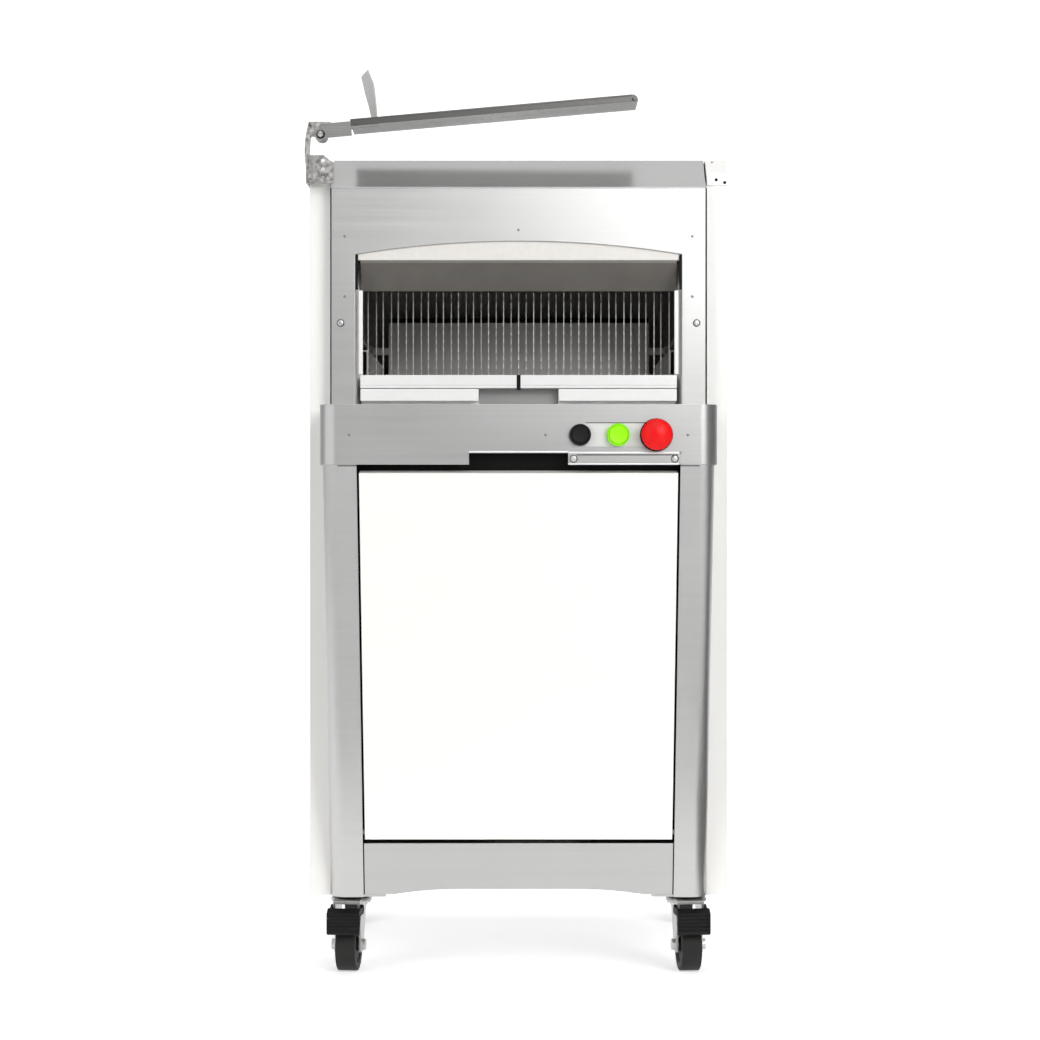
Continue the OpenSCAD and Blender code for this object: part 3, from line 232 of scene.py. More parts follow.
def round_edges(piece, radius, segments):
    """Rounds a piece's sharp edges by a radius in millimetres and keeps the faces between them flat."""
    edges = piece.modifiers.new("eased_edges", "BEVEL")
    edges.width = radius / 1000
    edges.segments = segments
    edges.limit_method = "ANGLE"
    edges.angle_limit = math.radians(30)
    bpy.ops.object.modifier_apply(modifier=edges.name)
    bpy.ops.object.shade_smooth_by_angle(angle=math.radians(50))
    flats = piece.modifiers.new("flat_faces", "WEIGHTED_NORMAL")
    flats.keep_sharp = True
    bpy.ops.object.modifier_apply(modifier=flats.name)
    return piece


def eased_copy(node, name, radius, segments=2):
    """A copy of a CAD node whose sharp edges are eased to a small radius in millimetres."""
    piece = bpy.data.objects.new(name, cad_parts[node].data.copy())
    piece.data.name = name
    bpy.context.scene.collection.objects.link(piece)
    piece.data.materials.clear()
    edit_all(piece)
    bpy.ops.mesh.customdata_custom_splitnormals_clear()
    bpy.ops.mesh.remove_doubles(threshold=0.00001)
    bpy.ops.mesh.dissolve_limited(angle_limit=math.radians(0.5))
    bpy.ops.object.mode_set(mode="OBJECT")
    return round_edges(piece, radius, segments)


def settle(piece, body, material, slot, *nodes):
    """Gives a finished piece its coat and fixes it to the body it moves with, in place of any CAD nodes named."""
    if not piece.data.materials:
        piece.data.materials.append(material)
    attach(piece, body)
    if nodes:
        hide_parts(*nodes)


def dress(node, name, radius, body, material, slot, segments=2):
    """Puts an eased copy of a CAD node, in one material, in the node's place."""
    settle(eased_copy(node, name, radius, segments), body, material, slot, node)


def relief(shader, height, strength, distance):
    """Lays a fine relief over a material."""
    bump = height.node("Bump", None, {"Height": height, "Strength": strength, "Distance": distance})
    bump.into(shader, "Normal")


bare, bare_shader, bare_place = finish("bare_sheet", Metallic=1.0)
spangle = bare_place.node("TexVoronoi", None, {"Vector": bare_place, "Scale": 90.0})
stain = bare_place.noise(14.0, 4.0)
(spangle * 0.5 + stain * 0.5).tint((0.50, 0.50, 0.50, 1), (0.66, 0.66, 0.655, 1)).into(bare_shader, "Base Color")
(0.30 + stain * 0.18).into(bare_shader, "Roughness")
relief(bare_shader, stain, 0.06, 0.0006)
dress("chassis_plates", "side_chassis", 0.6, "cabinet", bare, "plain_steel")
dress("base_plate", "cabinet_floor", 0.8, "cabinet", bare, "plain_steel")
dress("infeed_table", "infeed_trough", 0.6, "cabinet", bare, "plain_steel")

# Casters: plated steel top plates bolted under the floor, plated forks, and black rubber tyres on moulded hubs.
# The crown of each fork is a pressed cup, and a race on the top plate closes the swivel's balls in it.
def turned(name, profile, place, axis, sides=64):
    """A round piece from rings of (radius, distance) in millimetres along an axis from a place, ends closed."""
    clear_selection()
    bpy.ops.mesh.primitive_circle_add(vertices=sides, radius=profile[0][0] / 1000, fill_type="NGON",
                                      location=(0, 0, profile[0][1] / 1000))
    piece = bpy.context.object
    piece.name = name
    piece.data.name = name
    bpy.ops.object.transform_apply(location=True, rotation=True, scale=True)
    bpy.ops.object.mode_set(mode="EDIT")
    bpy.ops.mesh.select_mode(type="FACE")
    bpy.ops.mesh.select_all(action="SELECT")
    for (r0, z0), (r1, z1) in zip(profile, profile[1:]):
        bpy.ops.mesh.extrude_region_move(TRANSFORM_OT_translate={"value": (0, 0, (z1 - z0) / 1000)})
        if r1 != r0:
            bpy.ops.transform.resize(value=(r1 / r0, r1 / r0, 1), center_override=(0, 0, z1 / 1000))
    bpy.ops.mesh.select_all(action="SELECT")
    bpy.ops.mesh.remove_doubles(threshold=0.000002)
    bpy.ops.mesh.normals_make_consistent(inside=False)
    bpy.ops.object.mode_set(mode="OBJECT")
    turns = {"X": (0, 90, 0), "Y": (-90, 0, 0), "-Y": (90, 0, 0), "Z": (0, 0, 0)}
    piece.rotation_euler = [math.radians(angle) for angle in turns[axis]]
    piece.location = [x / 1000 for x in place]
    bpy.ops.object.transform_apply(location=True, rotation=True, scale=True)
    bpy.ops.object.shade_smooth_by_angle(angle=math.radians(35))
    return piece


def moulded(name, dark, light, gloss):
    """A moulded plastic in two near shades, with a fine mould texture."""
    made, shader, place = finish(name, Specular_IOR_Level=0.22)
    wear = place.noise(160.0, 5.0)
    wear.tint(dark, light).into(shader, "Base Color")
    (gloss + wear * 0.18).into(shader, "Roughness")
    relief(shader, place.noise(1500.0, 2.0), 0.08, 0.0002)
    return made


def two_tone(piece, main, other, test):
    """Gives a piece one material, and another on the faces whose middle, in millimetres, and normal pass a test."""
    piece.data.materials.append(main)
    piece.data.materials.append(other)
    for face in piece.data.polygons:
        if test(face.center * 1000, face.normal):
            face.material_index = 1
    return piece


def turn_at(piece, x, y, degrees):
    """Turns a piece built at the origin about the upright axis and stands it at x, y in millimetres."""
    select_only(piece)
    piece.rotation_euler = (0, 0, math.radians(degrees))
    piece.location = (x / 1000, y / 1000, 0)
    bpy.ops.object.transform_apply(location=True, rotation=True, scale=True)


plated, plated_shader, plated_place = finish("plated_steel", Metallic=1.0)
cloud = plated_place.noise(90.0, 5.0)
cloud.tint((0.46, 0.46, 0.455, 1), (0.66, 0.655, 0.64, 1)).into(plated_shader, "Base Color")
(0.24 + cloud * 0.22).into(plated_shader, "Roughness")
relief(plated_shader, cloud, 0.05, 0.0003)
rubber, rubber_shader, rubber_place = finish("black_tyre_rubber", Specular_IOR_Level=0.2)
dust = rubber_place.noise(50.0, 6.0)
dust.tint((0.009, 0.009, 0.009, 1), (0.028, 0.0275, 0.0265, 1)).into(rubber_shader, "Base Color")
(0.45 + dust * 0.25).into(rubber_shader, "Roughness")
relief(rubber_shader, rubber_place.noise(900.0), 0.15, 0.0003)
black_plastic = moulded("moulded_black", (0.002, 0.002, 0.0021, 1), (0.007, 0.007, 0.0072, 1), 0.48)
dress("caster_plates", "caster_top_plates", 0.8, "cabinet", plated, "plain_steel")
front_toe, wheel_radius, axle_trail, hub_radius = 5.0, 37.5, -22.0, 26.0
tyre_rings = [(8.6, -14.4), (9.4, -14.2), (9.8, -12.4), (24.5, -11.8), (26.0, -13.2), (28.0, -14.2), (36.2, -14.4),
              (37.2, -13.9), (37.5, -12.9), (37.5, 12.9), (37.2, 13.9), (36.2, 14.4), (28.0, 14.2),
              (26.0, 13.2), (24.5, 11.8), (9.8, 12.4), (9.4, 14.2), (8.6, 14.4)]
crown_rings = [(21.0, 95.6), (27.6, 96.4), (29.4, 98.0), (29.8, 100.2), (29.2, 102.4), (27.2, 103.4), (20.0, 103.5)]
race_rings = [(22.0, 104.0), (26.6, 104.4), (28.6, 106.0), (28.8, 108.0), (27.0, 109.9)]
for end, swivel_x, swivel_y, toe in (("front", 244.0, -123.0, front_toe), ("rear", 266.0, 270.0, 0.0)):
    for side, sign in (("left", -1), ("right", 1)):
        corner = end + "_" + side
        swivel = Vector((sign * swivel_x, swivel_y, 0))
        tyre = turned(corner + "_tyre_ring", tyre_rings, (0, axle_trail, wheel_radius), "X", 56)
        turn_at(tyre, swivel.x, swivel.y, sign * toe)
        hub = swivel + Matrix.Rotation(math.radians(sign * toe), 3, "Z") @ Vector((0, axle_trail, wheel_radius))
        two_tone(tyre, rubber, black_plastic, lambda middle, normal: (middle - hub).length < hub_radius)
        settle(tyre, corner + "_tyre", rubber, "black_rubber", corner + "_wheel")
        dress(corner + "_fork", corner + "_fork_sides", 0.7, corner + "_caster", plated, "plain_steel")
        crown = turned(corner + "_crown", crown_rings, (0, 0, 0), "Z", 48)
        turn_at(crown, swivel.x, swivel.y, sign * toe)
        settle(crown, corner + "_caster", plated, "plain_steel")
        race = turned(corner + "_race", race_rings, swivel, "Z", 48)
        settle(race, "cabinet", plated, "plain_steel")

# Brake pedals: moulded black plastic, each on two pins of a front caster's fork that it turns on, with grooves
# pressed across the front for the foot's grip.
def pick_faces(piece, test):
    """Selects the faces whose middle, in millimetres, and normal pass a test, and goes to edit mode."""
    bpy.ops.object.mode_set(mode="EDIT")
    bpy.ops.mesh.select_mode(type="FACE")
    bpy.ops.mesh.select_all(action="DESELECT")
    bpy.ops.object.mode_set(mode="OBJECT")
    for face in piece.data.polygons:
        face.select = bool(test(face.center * 1000, face.normal))
    bpy.ops.object.mode_set(mode="EDIT")


def push(depth):
    """Extrudes the picked faces along their normals, in millimetres, inwards where the depth is negative."""
    bpy.ops.mesh.extrude_region_shrink_fatten(TRANSFORM_OT_shrink_fatten={"value": depth / 1000})
    bpy.ops.object.mode_set(mode="OBJECT")


def cut(piece, height):
    """Cuts all of a mesh along a level plane at a height in millimetres, keeping both sides."""
    edit_all(piece)
    bpy.ops.mesh.bisect(plane_co=(0, 0, height / 1000), plane_no=(0, 0, 1))
    bpy.ops.object.mode_set(mode="OBJECT")


tread_low, tread_width, tread_pitch, tread_count, tread_depth = 66.0, 2.0, 5.0, 5, 0.5
tread_top = tread_low + tread_width + tread_pitch * (tread_count - 1)
for side, sign in (("left", -1), ("right", 1)):
    pedal = eased_copy(side + "_brake_pedal", side + "_ribbed_pedal", 0.8)
    ahead = Vector((sign * math.sin(math.radians(front_toe)), -math.cos(math.radians(front_toe)), 0))
    for level in range(tread_count):
        cut(pedal, tread_low + tread_pitch * level)
        cut(pedal, tread_low + tread_pitch * level + tread_width)
    pick_faces(pedal, lambda middle, normal: normal.dot(ahead) > 0.8 and tread_low < middle.z < tread_top
               and (middle.z - tread_low) % tread_pitch < tread_width)
    push(-tread_depth)
    settle(pedal, side + "_pedal", black_plastic, "black_plastic", side + "_brake_pedal")

# Blade frames, guide rods, rocker and crank: machined steel, oiled, with turning marks and a dull skin.
# The frames slide on the rods, driven from the crank through a connecting rod and the rocker.
machined, machined_shader, machined_place = finish("oiled_machined_steel", Metallic=1.0)
oil = machined_place.noise(25.0, 5.0)
turning = machined_place.noise((600.0, 600.0, 40.0), 2.0)
(oil * 0.7 + turning * 0.3).tint((0.17, 0.165, 0.155, 1), (0.34, 0.33, 0.32, 1)).into(machined_shader, "Base Color")
(0.26 + oil * 0.25).into(machined_shader, "Roughness")
relief(machined_shader, turning, 0.06, 0.0002)
for node, name, body in (("front_blade_frame", "front_blade_yoke", "front_frame"),
                         ("rear_blade_frame", "rear_blade_yoke", "rear_frame"),
                         ("rocker_lever", "blade_rocker_lever", "rocker"),
                         ("connecting_rod", "eyed_connecting_rod", "rod")):
    dress(node, name, 0.8, body, machined, "machined_steel")
for node in ("guide_rods", "crankshaft", "hinge_pins"):
    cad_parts[node].data.materials.clear()
    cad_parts[node].data.materials.append(machined)

# Blades: thin hardened strips with a scalloped front edge, clamped at both ends in two frames that move up and
# down against each other. Only the edges catch the light; the sides are dulled by flour and wax.
ground, ground_shader, ground_place = finish("ground_blade_steel", Metallic=0.85)
streak = ground_place.noise((300.0, 300.0, 5.0), 3.0)
wax = ground_place.noise((40.0, 40.0, 12.0), 5.0)
(streak * 0.5 + wax * 0.5).tint((0.20, 0.19, 0.18, 1), (0.62, 0.61, 0.59, 1)).into(ground_shader, "Base Color")
(0.28 + wax * 0.3).into(ground_shader, "Roughness")
relief(ground_shader, streak, 0.05, 0.0002)
blade_thickness, row_pitch, blade_rows, tooth_rows = 1.2, 22.0, 80, 4
tooth_hollows = ((1, 0.8), (2, 1.1), (3, 0.8))
for set_name in ("front", "rear"):
    set_low, set_high = [corner * 1000 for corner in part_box(set_name + "_blades")]
    blade_y, blade_depth, blade_height = (set_low.y + set_high.y) / 2, set_high.y - set_low.y, set_high.z - set_low.z
    count = 1 + round((set_high.x - set_low.x - blade_thickness) / row_pitch)
    clear_selection()
    bpy.ops.mesh.primitive_grid_add(x_subdivisions=2, y_subdivisions=blade_rows, size=1, location=(0, 0, 0))
    strip = bpy.context.object
    strip.name = set_name + "_blade_row"
    strip.data.name = strip.name
    strip.scale = (blade_depth / 1000, blade_height / 1000, 1)
    strip.rotation_euler = (math.radians(90), 0, math.radians(90))
    first = -row_pitch * (count - 1) / 2
    strip.location = (first / 1000, blade_y / 1000, (set_low.z + set_high.z) / 2000)
    bpy.ops.object.transform_apply(location=True, rotation=True, scale=True)
    edit_all(strip)
    bpy.ops.mesh.select_mode(type="VERT")
    for hollow, depth in tooth_hollows:
        bpy.ops.mesh.select_all(action="DESELECT")
        bpy.ops.object.mode_set(mode="OBJECT")
        for point in strip.data.vertices:
            row = round((point.co.z * 1000 - set_low.z) * blade_rows / blade_height)
            at_edge = point.co.y * 1000 < blade_y - 0.45 * blade_depth
            point.select = at_edge and row % tooth_rows == hollow
        bpy.ops.object.mode_set(mode="EDIT")
        bpy.ops.transform.translate(value=(0, depth / 1000, 0))
    bpy.ops.object.mode_set(mode="OBJECT")
    wall = strip.modifiers.new("blade_thickness", "SOLIDIFY")
    wall.thickness = blade_thickness / 1000
    wall.offset = 0.0
    bpy.ops.object.modifier_apply(modifier=wall.name)
    edit_all(strip)
    bpy.ops.mesh.normals_make_consistent(inside=False)
    bpy.ops.object.mode_set(mode="OBJECT")
    ranks = strip.modifiers.new("blade_pitch", "ARRAY")
    ranks.count = count
    ranks.use_relative_offset = False
    ranks.use_constant_offset = True
    ranks.constant_offset_displace = (row_pitch / 1000, 0, 0)
    bpy.ops.object.modifier_apply(modifier=ranks.name)
    settle(strip, set_name + "_frame", ground, "blade_steel", set_name + "_blades")

# Drive: a cast motor and cast bearing blocks bolted to the chassis, a small steel pulley on the motor's shaft and a
# rubber belt to the crank. The switchgear is in a sheet box under the table's top, sprayed dull black.
cast, cast_shader, cast_place = finish("sand_cast_grey", Metallic=0.55)
sand = cast_place.noise(380.0, 4.0)
paint = cast_place.noise(20.0, 4.0)
(sand * 0.4 + paint * 0.6).tint((0.20, 0.205, 0.21, 1), (0.34, 0.345, 0.35, 1)).into(cast_shader, "Base Color")
(0.45 + sand * 0.2).into(cast_shader, "Roughness")
relief(cast_shader, sand, 0.25, 0.0005)
dull_black, black_shader, black_place = finish("dull_black_coat", Specular_IOR_Level=0.12)
rubbed = black_place.noise(22.0, 6.0)
rubbed.tint((0.002, 0.002, 0.002, 1), (0.010, 0.0098, 0.0094, 1)).into(black_shader, "Base Color")
(0.42 + rubbed * 0.25).into(black_shader, "Roughness")
relief(black_shader, black_place.noise(700.0, 2.0), 0.15, 0.0003)
dress("motor", "finned_motor", 1.2, "cabinet", cast, "cast_blocks")
dress("bearing_blocks", "bearing_castings", 1.0, "cabinet", cast, "cast_blocks")
dress("control_box", "switchgear_box", 1.5, "cabinet", dull_black, "black_paint")
dress("motor_pulley", "small_pulley", 0.5, "motor_shaft", machined, "machined_steel")
dress("drive_belt", "flat_drive_belt", 0.4, "cabinet", rubber, "black_rubber")

# Pusher: a plate of dark, waxed sheet that slides forward on two rods and presses the loaf through the blades.
# A black edging is clipped along its top.
def block(name, corner, opposite):
    """A box between two opposite corners, given in millimetres, left in object mode with its place in its mesh."""
    clear_selection()
    middle = [(a + b) / 2000 for a, b in zip(corner, opposite)]
    bpy.ops.mesh.primitive_cube_add(size=1, location=middle)
    piece = bpy.context.object
    piece.name = name
    piece.data.name = name
    piece.scale = [abs(b - a) / 1000 for a, b in zip(corner, opposite)]
    bpy.ops.object.transform_apply(location=True, rotation=True, scale=True)
    return piece


def stepped(name, corner, opposite, rim, step):
    """A box whose front face, within a rim, is pushed out by a step, or in where the step is negative."""
    piece = block(name, corner, opposite)
    pick_faces(piece, lambda middle, normal: normal.y < -0.9)
    bpy.ops.mesh.inset(thickness=rim / 1000, depth=0.0)
    push(step)
    return piece


def ease(piece, radius):
    """Rounds a modelled piece's sharp edges by a radius in millimetres and shades it smooth."""
    edit_all(piece)
    bpy.ops.mesh.remove_doubles(threshold=0.000005)
    bpy.ops.mesh.normals_make_consistent(inside=False)
    bpy.ops.object.mode_set(mode="OBJECT")
    return round_edges(piece, radius, 2)


waxed, waxed_shader, waxed_place = finish("dark_waxed_sheet", Metallic=0.75)
film = waxed_place.noise(16.0, 6.0)
film.tint((0.47, 0.453, 0.436, 1), (0.63, 0.61, 0.59, 1)).into(waxed_shader, "Base Color")
(0.26 + film * 0.22).into(waxed_shader, "Roughness")
relief(waxed_shader, film, 0.06, 0.0006)
dress("pusher", "loaf_pusher", 1.0, "pusher", waxed, "plain_steel")
pusher_low, pusher_high = [corner * 1000 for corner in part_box("pusher")]
edging_half, edging_rim, edging_dip = 214.0, 1.5, 0.6
edging_front, edging_back = pusher_low.y + 12.6, pusher_low.y + 14.6
edging_low, edging_high = pusher_high.z - 8.0, pusher_high.z - 0.4
edging = stepped("edging", (-edging_half, edging_front, edging_low), (edging_half, edging_back, edging_high),
                 edging_rim, -edging_dip)
settle(ease(edging, 0.4), "pusher", dull_black, "black_paint")

# Cheeks: two white-coated plates that line the mouth's sides and lead the loaf to the blades, their white a painted
# reflection of bright steel. Thin black gasket strips line the mouth's edge beside the visor and the lintel, the
# seam between the face and each panel, and the joints of each leg with the table and the crossbar, their black
# painted shade for these gaps. A white edging covers the front of each cheek, its white the same painted reflection.
def coated(name, clean, worn):
    """White powder coat with an orange-peel skin, a little greyer where feet and brooms reach it."""
    grime_top, grime_rate = 0.34, 4.0
    made, shader, place = finish(name, Coat_Weight=0.25, Coat_Roughness=0.15)
    height = place.node("SeparateXYZ", None, {0: place}, "Z")
    scuffs = place.noise(9.0, 6.0)
    low_grime = ((grime_top - height) * grime_rate).held() * scuffs
    (low_grime * 0.5 + scuffs * 0.12).tint(clean, worn).into(shader, "Base Color")
    (0.30 + scuffs * 0.10 + low_grime * 0.15).into(shader, "Roughness")
    relief(shader, place.noise(420.0, 2.0), 0.12, 0.0004)
    return made


def join(name, pieces):
    """Joins modelled pieces into one mesh."""
    clear_selection()
    for piece in pieces:
        piece.select_set(True)
    bpy.context.view_layer.objects.active = pieces[0]
    bpy.ops.object.join()
    pieces[0].name = name
    pieces[0].data.name = name
    return pieces[0]


# This white is a greyer copy of the door's coat, painted shade on the panels; on the cheeks and their edgings it is
# a painted reflection of bright steel.
painted_shade_and_reflection_white = coated("powder_coat_white_painted_shade_and_reflection", (0.90, 0.892, 0.868, 1), (0.73, 0.718, 0.684, 1))
dress("cheeks", "cheek_plates", 0.5, "cabinet", painted_shade_and_reflection_white, "white_paint")
# These strips are black as painted shade for the gaps they fill.
gap_shade_runs = {"mouth_edge": ((229.2, 232.8), (-194.2, -192.1), (981.0, 1030.6)),
               "panel_seam": ((267.1, 268.9), (-193.4, -176.0), (812.0, 1126.0)),
               "leg_head": ((221.0, 247.0), (-334.9, -333.2), (725.2, 726.5))}
leg_reach, leg_height = 140.0, 613.5
leg_foot = (0, -0.195, 0.114)
gap_shade_strips = []
for side in (-1, 1):
    for (near, far), (front, rear), (low, high) in gap_shade_runs.values():
        strip = stepped("gasket", (side * near, front, low), (side * far, rear, high), 0.5, 0.4)
        gap_shade_strips.append(ease(strip, 0.2))
    foot_seam = stepped("gasket", (side * 219.2, -0.25, 4.2), (side * 220.8, 0.8, 81.0), 0.3, 0.1)
    foot_seam.rotation_euler = (math.atan2(leg_reach, leg_height), 0, 0)
    foot_seam.location = leg_foot
    bpy.ops.object.transform_apply(location=True, rotation=True, scale=True)
    gap_shade_strips.append(ease(foot_seam, 0.1))
settle(join("black_gap_shade_strips", gap_shade_strips), "cabinet", dull_black, "black_paint")
# The edgings are white as a painted reflection of bright steel.
edgings = []
for side in (-1, 1):
    trim = stepped("edging", (side * 222.6, -193.4, 860.2), (side * 228.2, -191.2, 979.6), 1.2, 0.5)
    edgings.append(ease(trim, 0.4))
settle(join("cheek_edgings", edgings), "cabinet", painted_shade_and_reflection_white, "white_paint")

# Loaf rests: white food-grade plastic, milled from the solid. Each half is a plate with a shadow groove along
# its front, on a thicker bar that is cut back to leave room for a hand. A black strip fills the slot between them.
milled, milled_shader, milled_place = finish("milled_white_plastic", Specular_IOR_Level=0.45)
cutter = milled_place.noise((6.0, 260.0, 260.0), 2.0)
crumbs = milled_place.noise(45.0, 6.0)
(crumbs * 0.6 + cutter * 0.3).tint((0.90, 0.90, 0.895, 1), (0.83, 0.83, 0.82, 1)).into(milled_shader, "Base Color")
(0.32 + crumbs * 0.2).into(milled_shader, "Roughness")
relief(milled_shader, cutter, 0.08, 0.0003)

rests_low, rests_high = [corner * 1000 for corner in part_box("rest_plates")]
rest_end, rest_front, rest_back = rests_high.x, rests_low.y, rests_high.y
foot_low, rest_high = rests_low.z, rests_high.z
slot_half, bar_start, bar_back, bar_low, bar_high = 2.8, 57.0, rest_front + 23.0, foot_low + 11.8, rest_high - 19.6
rest_low, groove_low, groove_high, groove_depth = rest_high - 18.7, rest_high - 15.8, rest_high - 14.8, 1.2
rests = []
for side in (-1, 1):
    plate = block("rest_plate", (side * slot_half, rest_front, rest_low), (side * rest_end, rest_back, rest_high))
    cut(plate, groove_low)
    cut(plate, groove_high)
    pick_faces(plate, lambda middle, normal: normal.y < -0.9 and groove_low < middle.z < groove_high)
    push(-groove_depth)
    bar = block("rest_bar", (side * bar_start, rest_front, bar_low), (side * rest_end, bar_back, bar_high))
    foot = block("rest_foot", (side * bar_start, bar_back, foot_low), (side * rest_end, rest_back, rest_low))
    rests += [ease(plate, 0.7), ease(bar, 1.2), ease(foot, 0.8)]
settle(join("loaf_rests", rests), "cabinet", milled, "white_plastic", "rest_plates")
filler = stepped("slot_filler", (-2.7, -192.0, 841.0), (2.7, -130.0, 859.4), 0.9, -0.8)
settle(ease(filler, 0.4), "cabinet", dull_black, "black_paint")

# Visor board and lintel: a cream laminate board closes the arch from behind, and a sheet slopes from its foot back
# towards the blades, coloured dark grey as painted shade. Both are clamped between the face and the chassis.
cream, cream_shader, cream_place = finish("cream_laminate", Coat_Weight=0.1, Coat_Roughness=0.3)
fleck = cream_place.noise(120.0, 4.0)
fleck.tint((0.68, 0.655, 0.61, 1), (0.76, 0.745, 0.715, 1)).into(cream_shader, "Base Color")
(0.34 + fleck * 0.15).into(cream_shader, "Roughness")
relief(cream_shader, fleck, 0.05, 0.0003)
dress("arch_visor", "visor_board", 0.6, "cabinet", cream, "cream_board")

# A dark grey as painted shade on the lintel's downward slope.
lintel_shade_sheet, lintel_shade_shader, lintel_shade_place = finish("lintel_painted_shade", Specular_IOR_Level=0.4)
mottle = lintel_shade_place.noise(30.0, 5.0)
mottle.tint((0.125, 0.117, 0.105, 1), (0.175, 0.165, 0.150, 1)).into(lintel_shade_shader, "Base Color")
(0.38 + mottle * 0.2).into(lintel_shade_shader, "Roughness")
relief(lintel_shade_shader, lintel_shade_place.noise(500.0), 0.08, 0.0003)
dress("lintel", "sloping_lintel", 0.6, "cabinet", lintel_shade_sheet, "dark_sheet")

# Front face and hood: brushed stainless sheet screwed to the chassis, grained along its width.
# The face has the arched mouth cut in it; the hood folds back from the face at a slope and runs to the lid.
def brushed(name, dark, light, gloss, metal=1.0):
    """Stainless sheet brushed along the machine's width, in two near shades."""
    made, shader, place = finish(name, Metallic=metal, Anisotropic=0.35)
    grain = place.noise((5.0, 1500.0, 1500.0), 2.0) * 0.6 + place.noise((1.3, 170.0, 170.0), 4.0) * 0.4
    handling = place.noise(7.0, 5.0)
    (grain * 0.7 + handling * 0.3).tint(dark, light).into(shader, "Base Color")
    (gloss + grain * 0.18 + handling * 0.08).into(shader, "Roughness")
    relief(shader, grain, 0.10, 0.0003)
    return made


steel = brushed("brushed_stainless", (0.425, 0.425, 0.423, 1), (0.57, 0.568, 0.563, 1), 0.19)
smooth_steel = brushed("smooth_stainless", (0.43, 0.43, 0.428, 1), (0.55, 0.548, 0.544, 1), 0.06, 0.72)
dress("front_face", "mouth_face", 0.9, "cabinet", steel, "brushed_steel")
dress("top_hood", "sloping_hood", 1.2, "cabinet", smooth_steel, "brushed_steel")

# Outfeed table: one folded stainless sheet with rounded front corners and a finger notch in its apron, and a thin
# cover strip under the buttons held by two dome screws. The sheet takes a darker steel in the gap between the loaf
# rests' bars, as painted shade.
# Faces in the gap take a darker copy of the steel, painted shade.
gap_front, gap_floor, gap_half = -165.0, 811.5, 58.0
shaded_steel = brushed("shaded_stainless", (0.22, 0.22, 0.218, 1), (0.34, 0.338, 0.334, 1), 0.24)
table = two_tone(eased_copy("outfeed_table", "folded_table", 1.8, 3), steel, shaded_steel, lambda middle, normal:
                 middle.y > gap_front and middle.z > gap_floor and abs(middle.x) < gap_half)
settle(table, "cabinet", steel, "brushed_steel", "outfeed_table")
dress("cover_strip", "apron_strip", 0.6, "cabinet", steel, "brushed_steel")

# Legs and crossbar: stainless channels that lean back from the table down to the floor of the cabinet,
# joined at their feet by a bar that is cut up underneath to a flat arch.
pale_steel = brushed("pale_stainless", (0.47, 0.47, 0.468, 1), (0.625, 0.623, 0.618, 1), 0.19)
for side in ("left", "right"):
    dress(side + "_leg", side + "_leg_channel", 1.2, "cabinet", pale_steel, "brushed_steel")
dress("lower_crossbar", "foot_bar", 0.8, "cabinet", steel, "brushed_steel")

# Door frame: folded sheet fixed inside the legs, behind the door, with a rail that shows through the finger notch.
# Its dull sprayed black coat has worn grey in places.
dress("door_frame", "black_door_frame", 0.8, "cabinet", dull_black, "black_paint")

# Door: a shallow tray of folded sheet, powder coated white, that tilts forward on two pins near its foot
# and carries the crumb bin, a deep open box of bare sheet, on its back.
door_coat = coated("door_powder_coat", (0.92, 0.908, 0.873, 1), (0.86, 0.847, 0.812, 1))
dress("front_door", "white_door", 2.0, "door", door_coat, "white_paint", 3)
dress("crumb_bin", "folded_crumb_bin", 0.8, "door", bare, "plain_steel")

# Side panels: two deep boxes of folded sheet, powder coated white, bolted to the chassis from inside.
# A wide chamfer joins the front and the top of each, and the coat has a fine orange-peel skin.
# Their white is the greyer copy of the door's coat, painted shade.
for side in ("left", "right"):
    dress(side + "_side_panel", side + "_panel_skin", 2.2, "cabinet", painted_shade_and_reflection_white, "white_paint", 3)

# Rear panel: white powder-coated sheet held by eight screws, with two columns of pressed louvres for the motor's
# air and a nylon gland low down where the mains lead enters. Its inner side is coloured dark grey as painted shade.
# A dark grey on the inner faces of the rear panel and the lid, painted shade inside the machine.
inner_painted_shade = moulded("inner_painted_shade_coat", (0.26, 0.246, 0.23, 1), (0.38, 0.362, 0.34, 1), 0.5)
back_panel = two_tone(eased_copy("rear_panel", "louvred_back", 1.0), painted_shade_and_reflection_white, inner_painted_shade,
                      lambda middle, normal: normal.y < -0.5)
settle(back_panel, "cabinet", painted_shade_and_reflection_white, "white_paint", "rear_panel")
back_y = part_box("rear_panel")[1].y * 1000
louvre_half, louvre_height, louvre_pitch, louvre_lift, louvre_slope = 70.0, 13.0, 22.0, 5.0, 5.2
louvre_low, louvre_rows, lip_height, vent_rim, vent_depth = 300.0, 9, 4.0, 0.7, 3.0
louvres = []
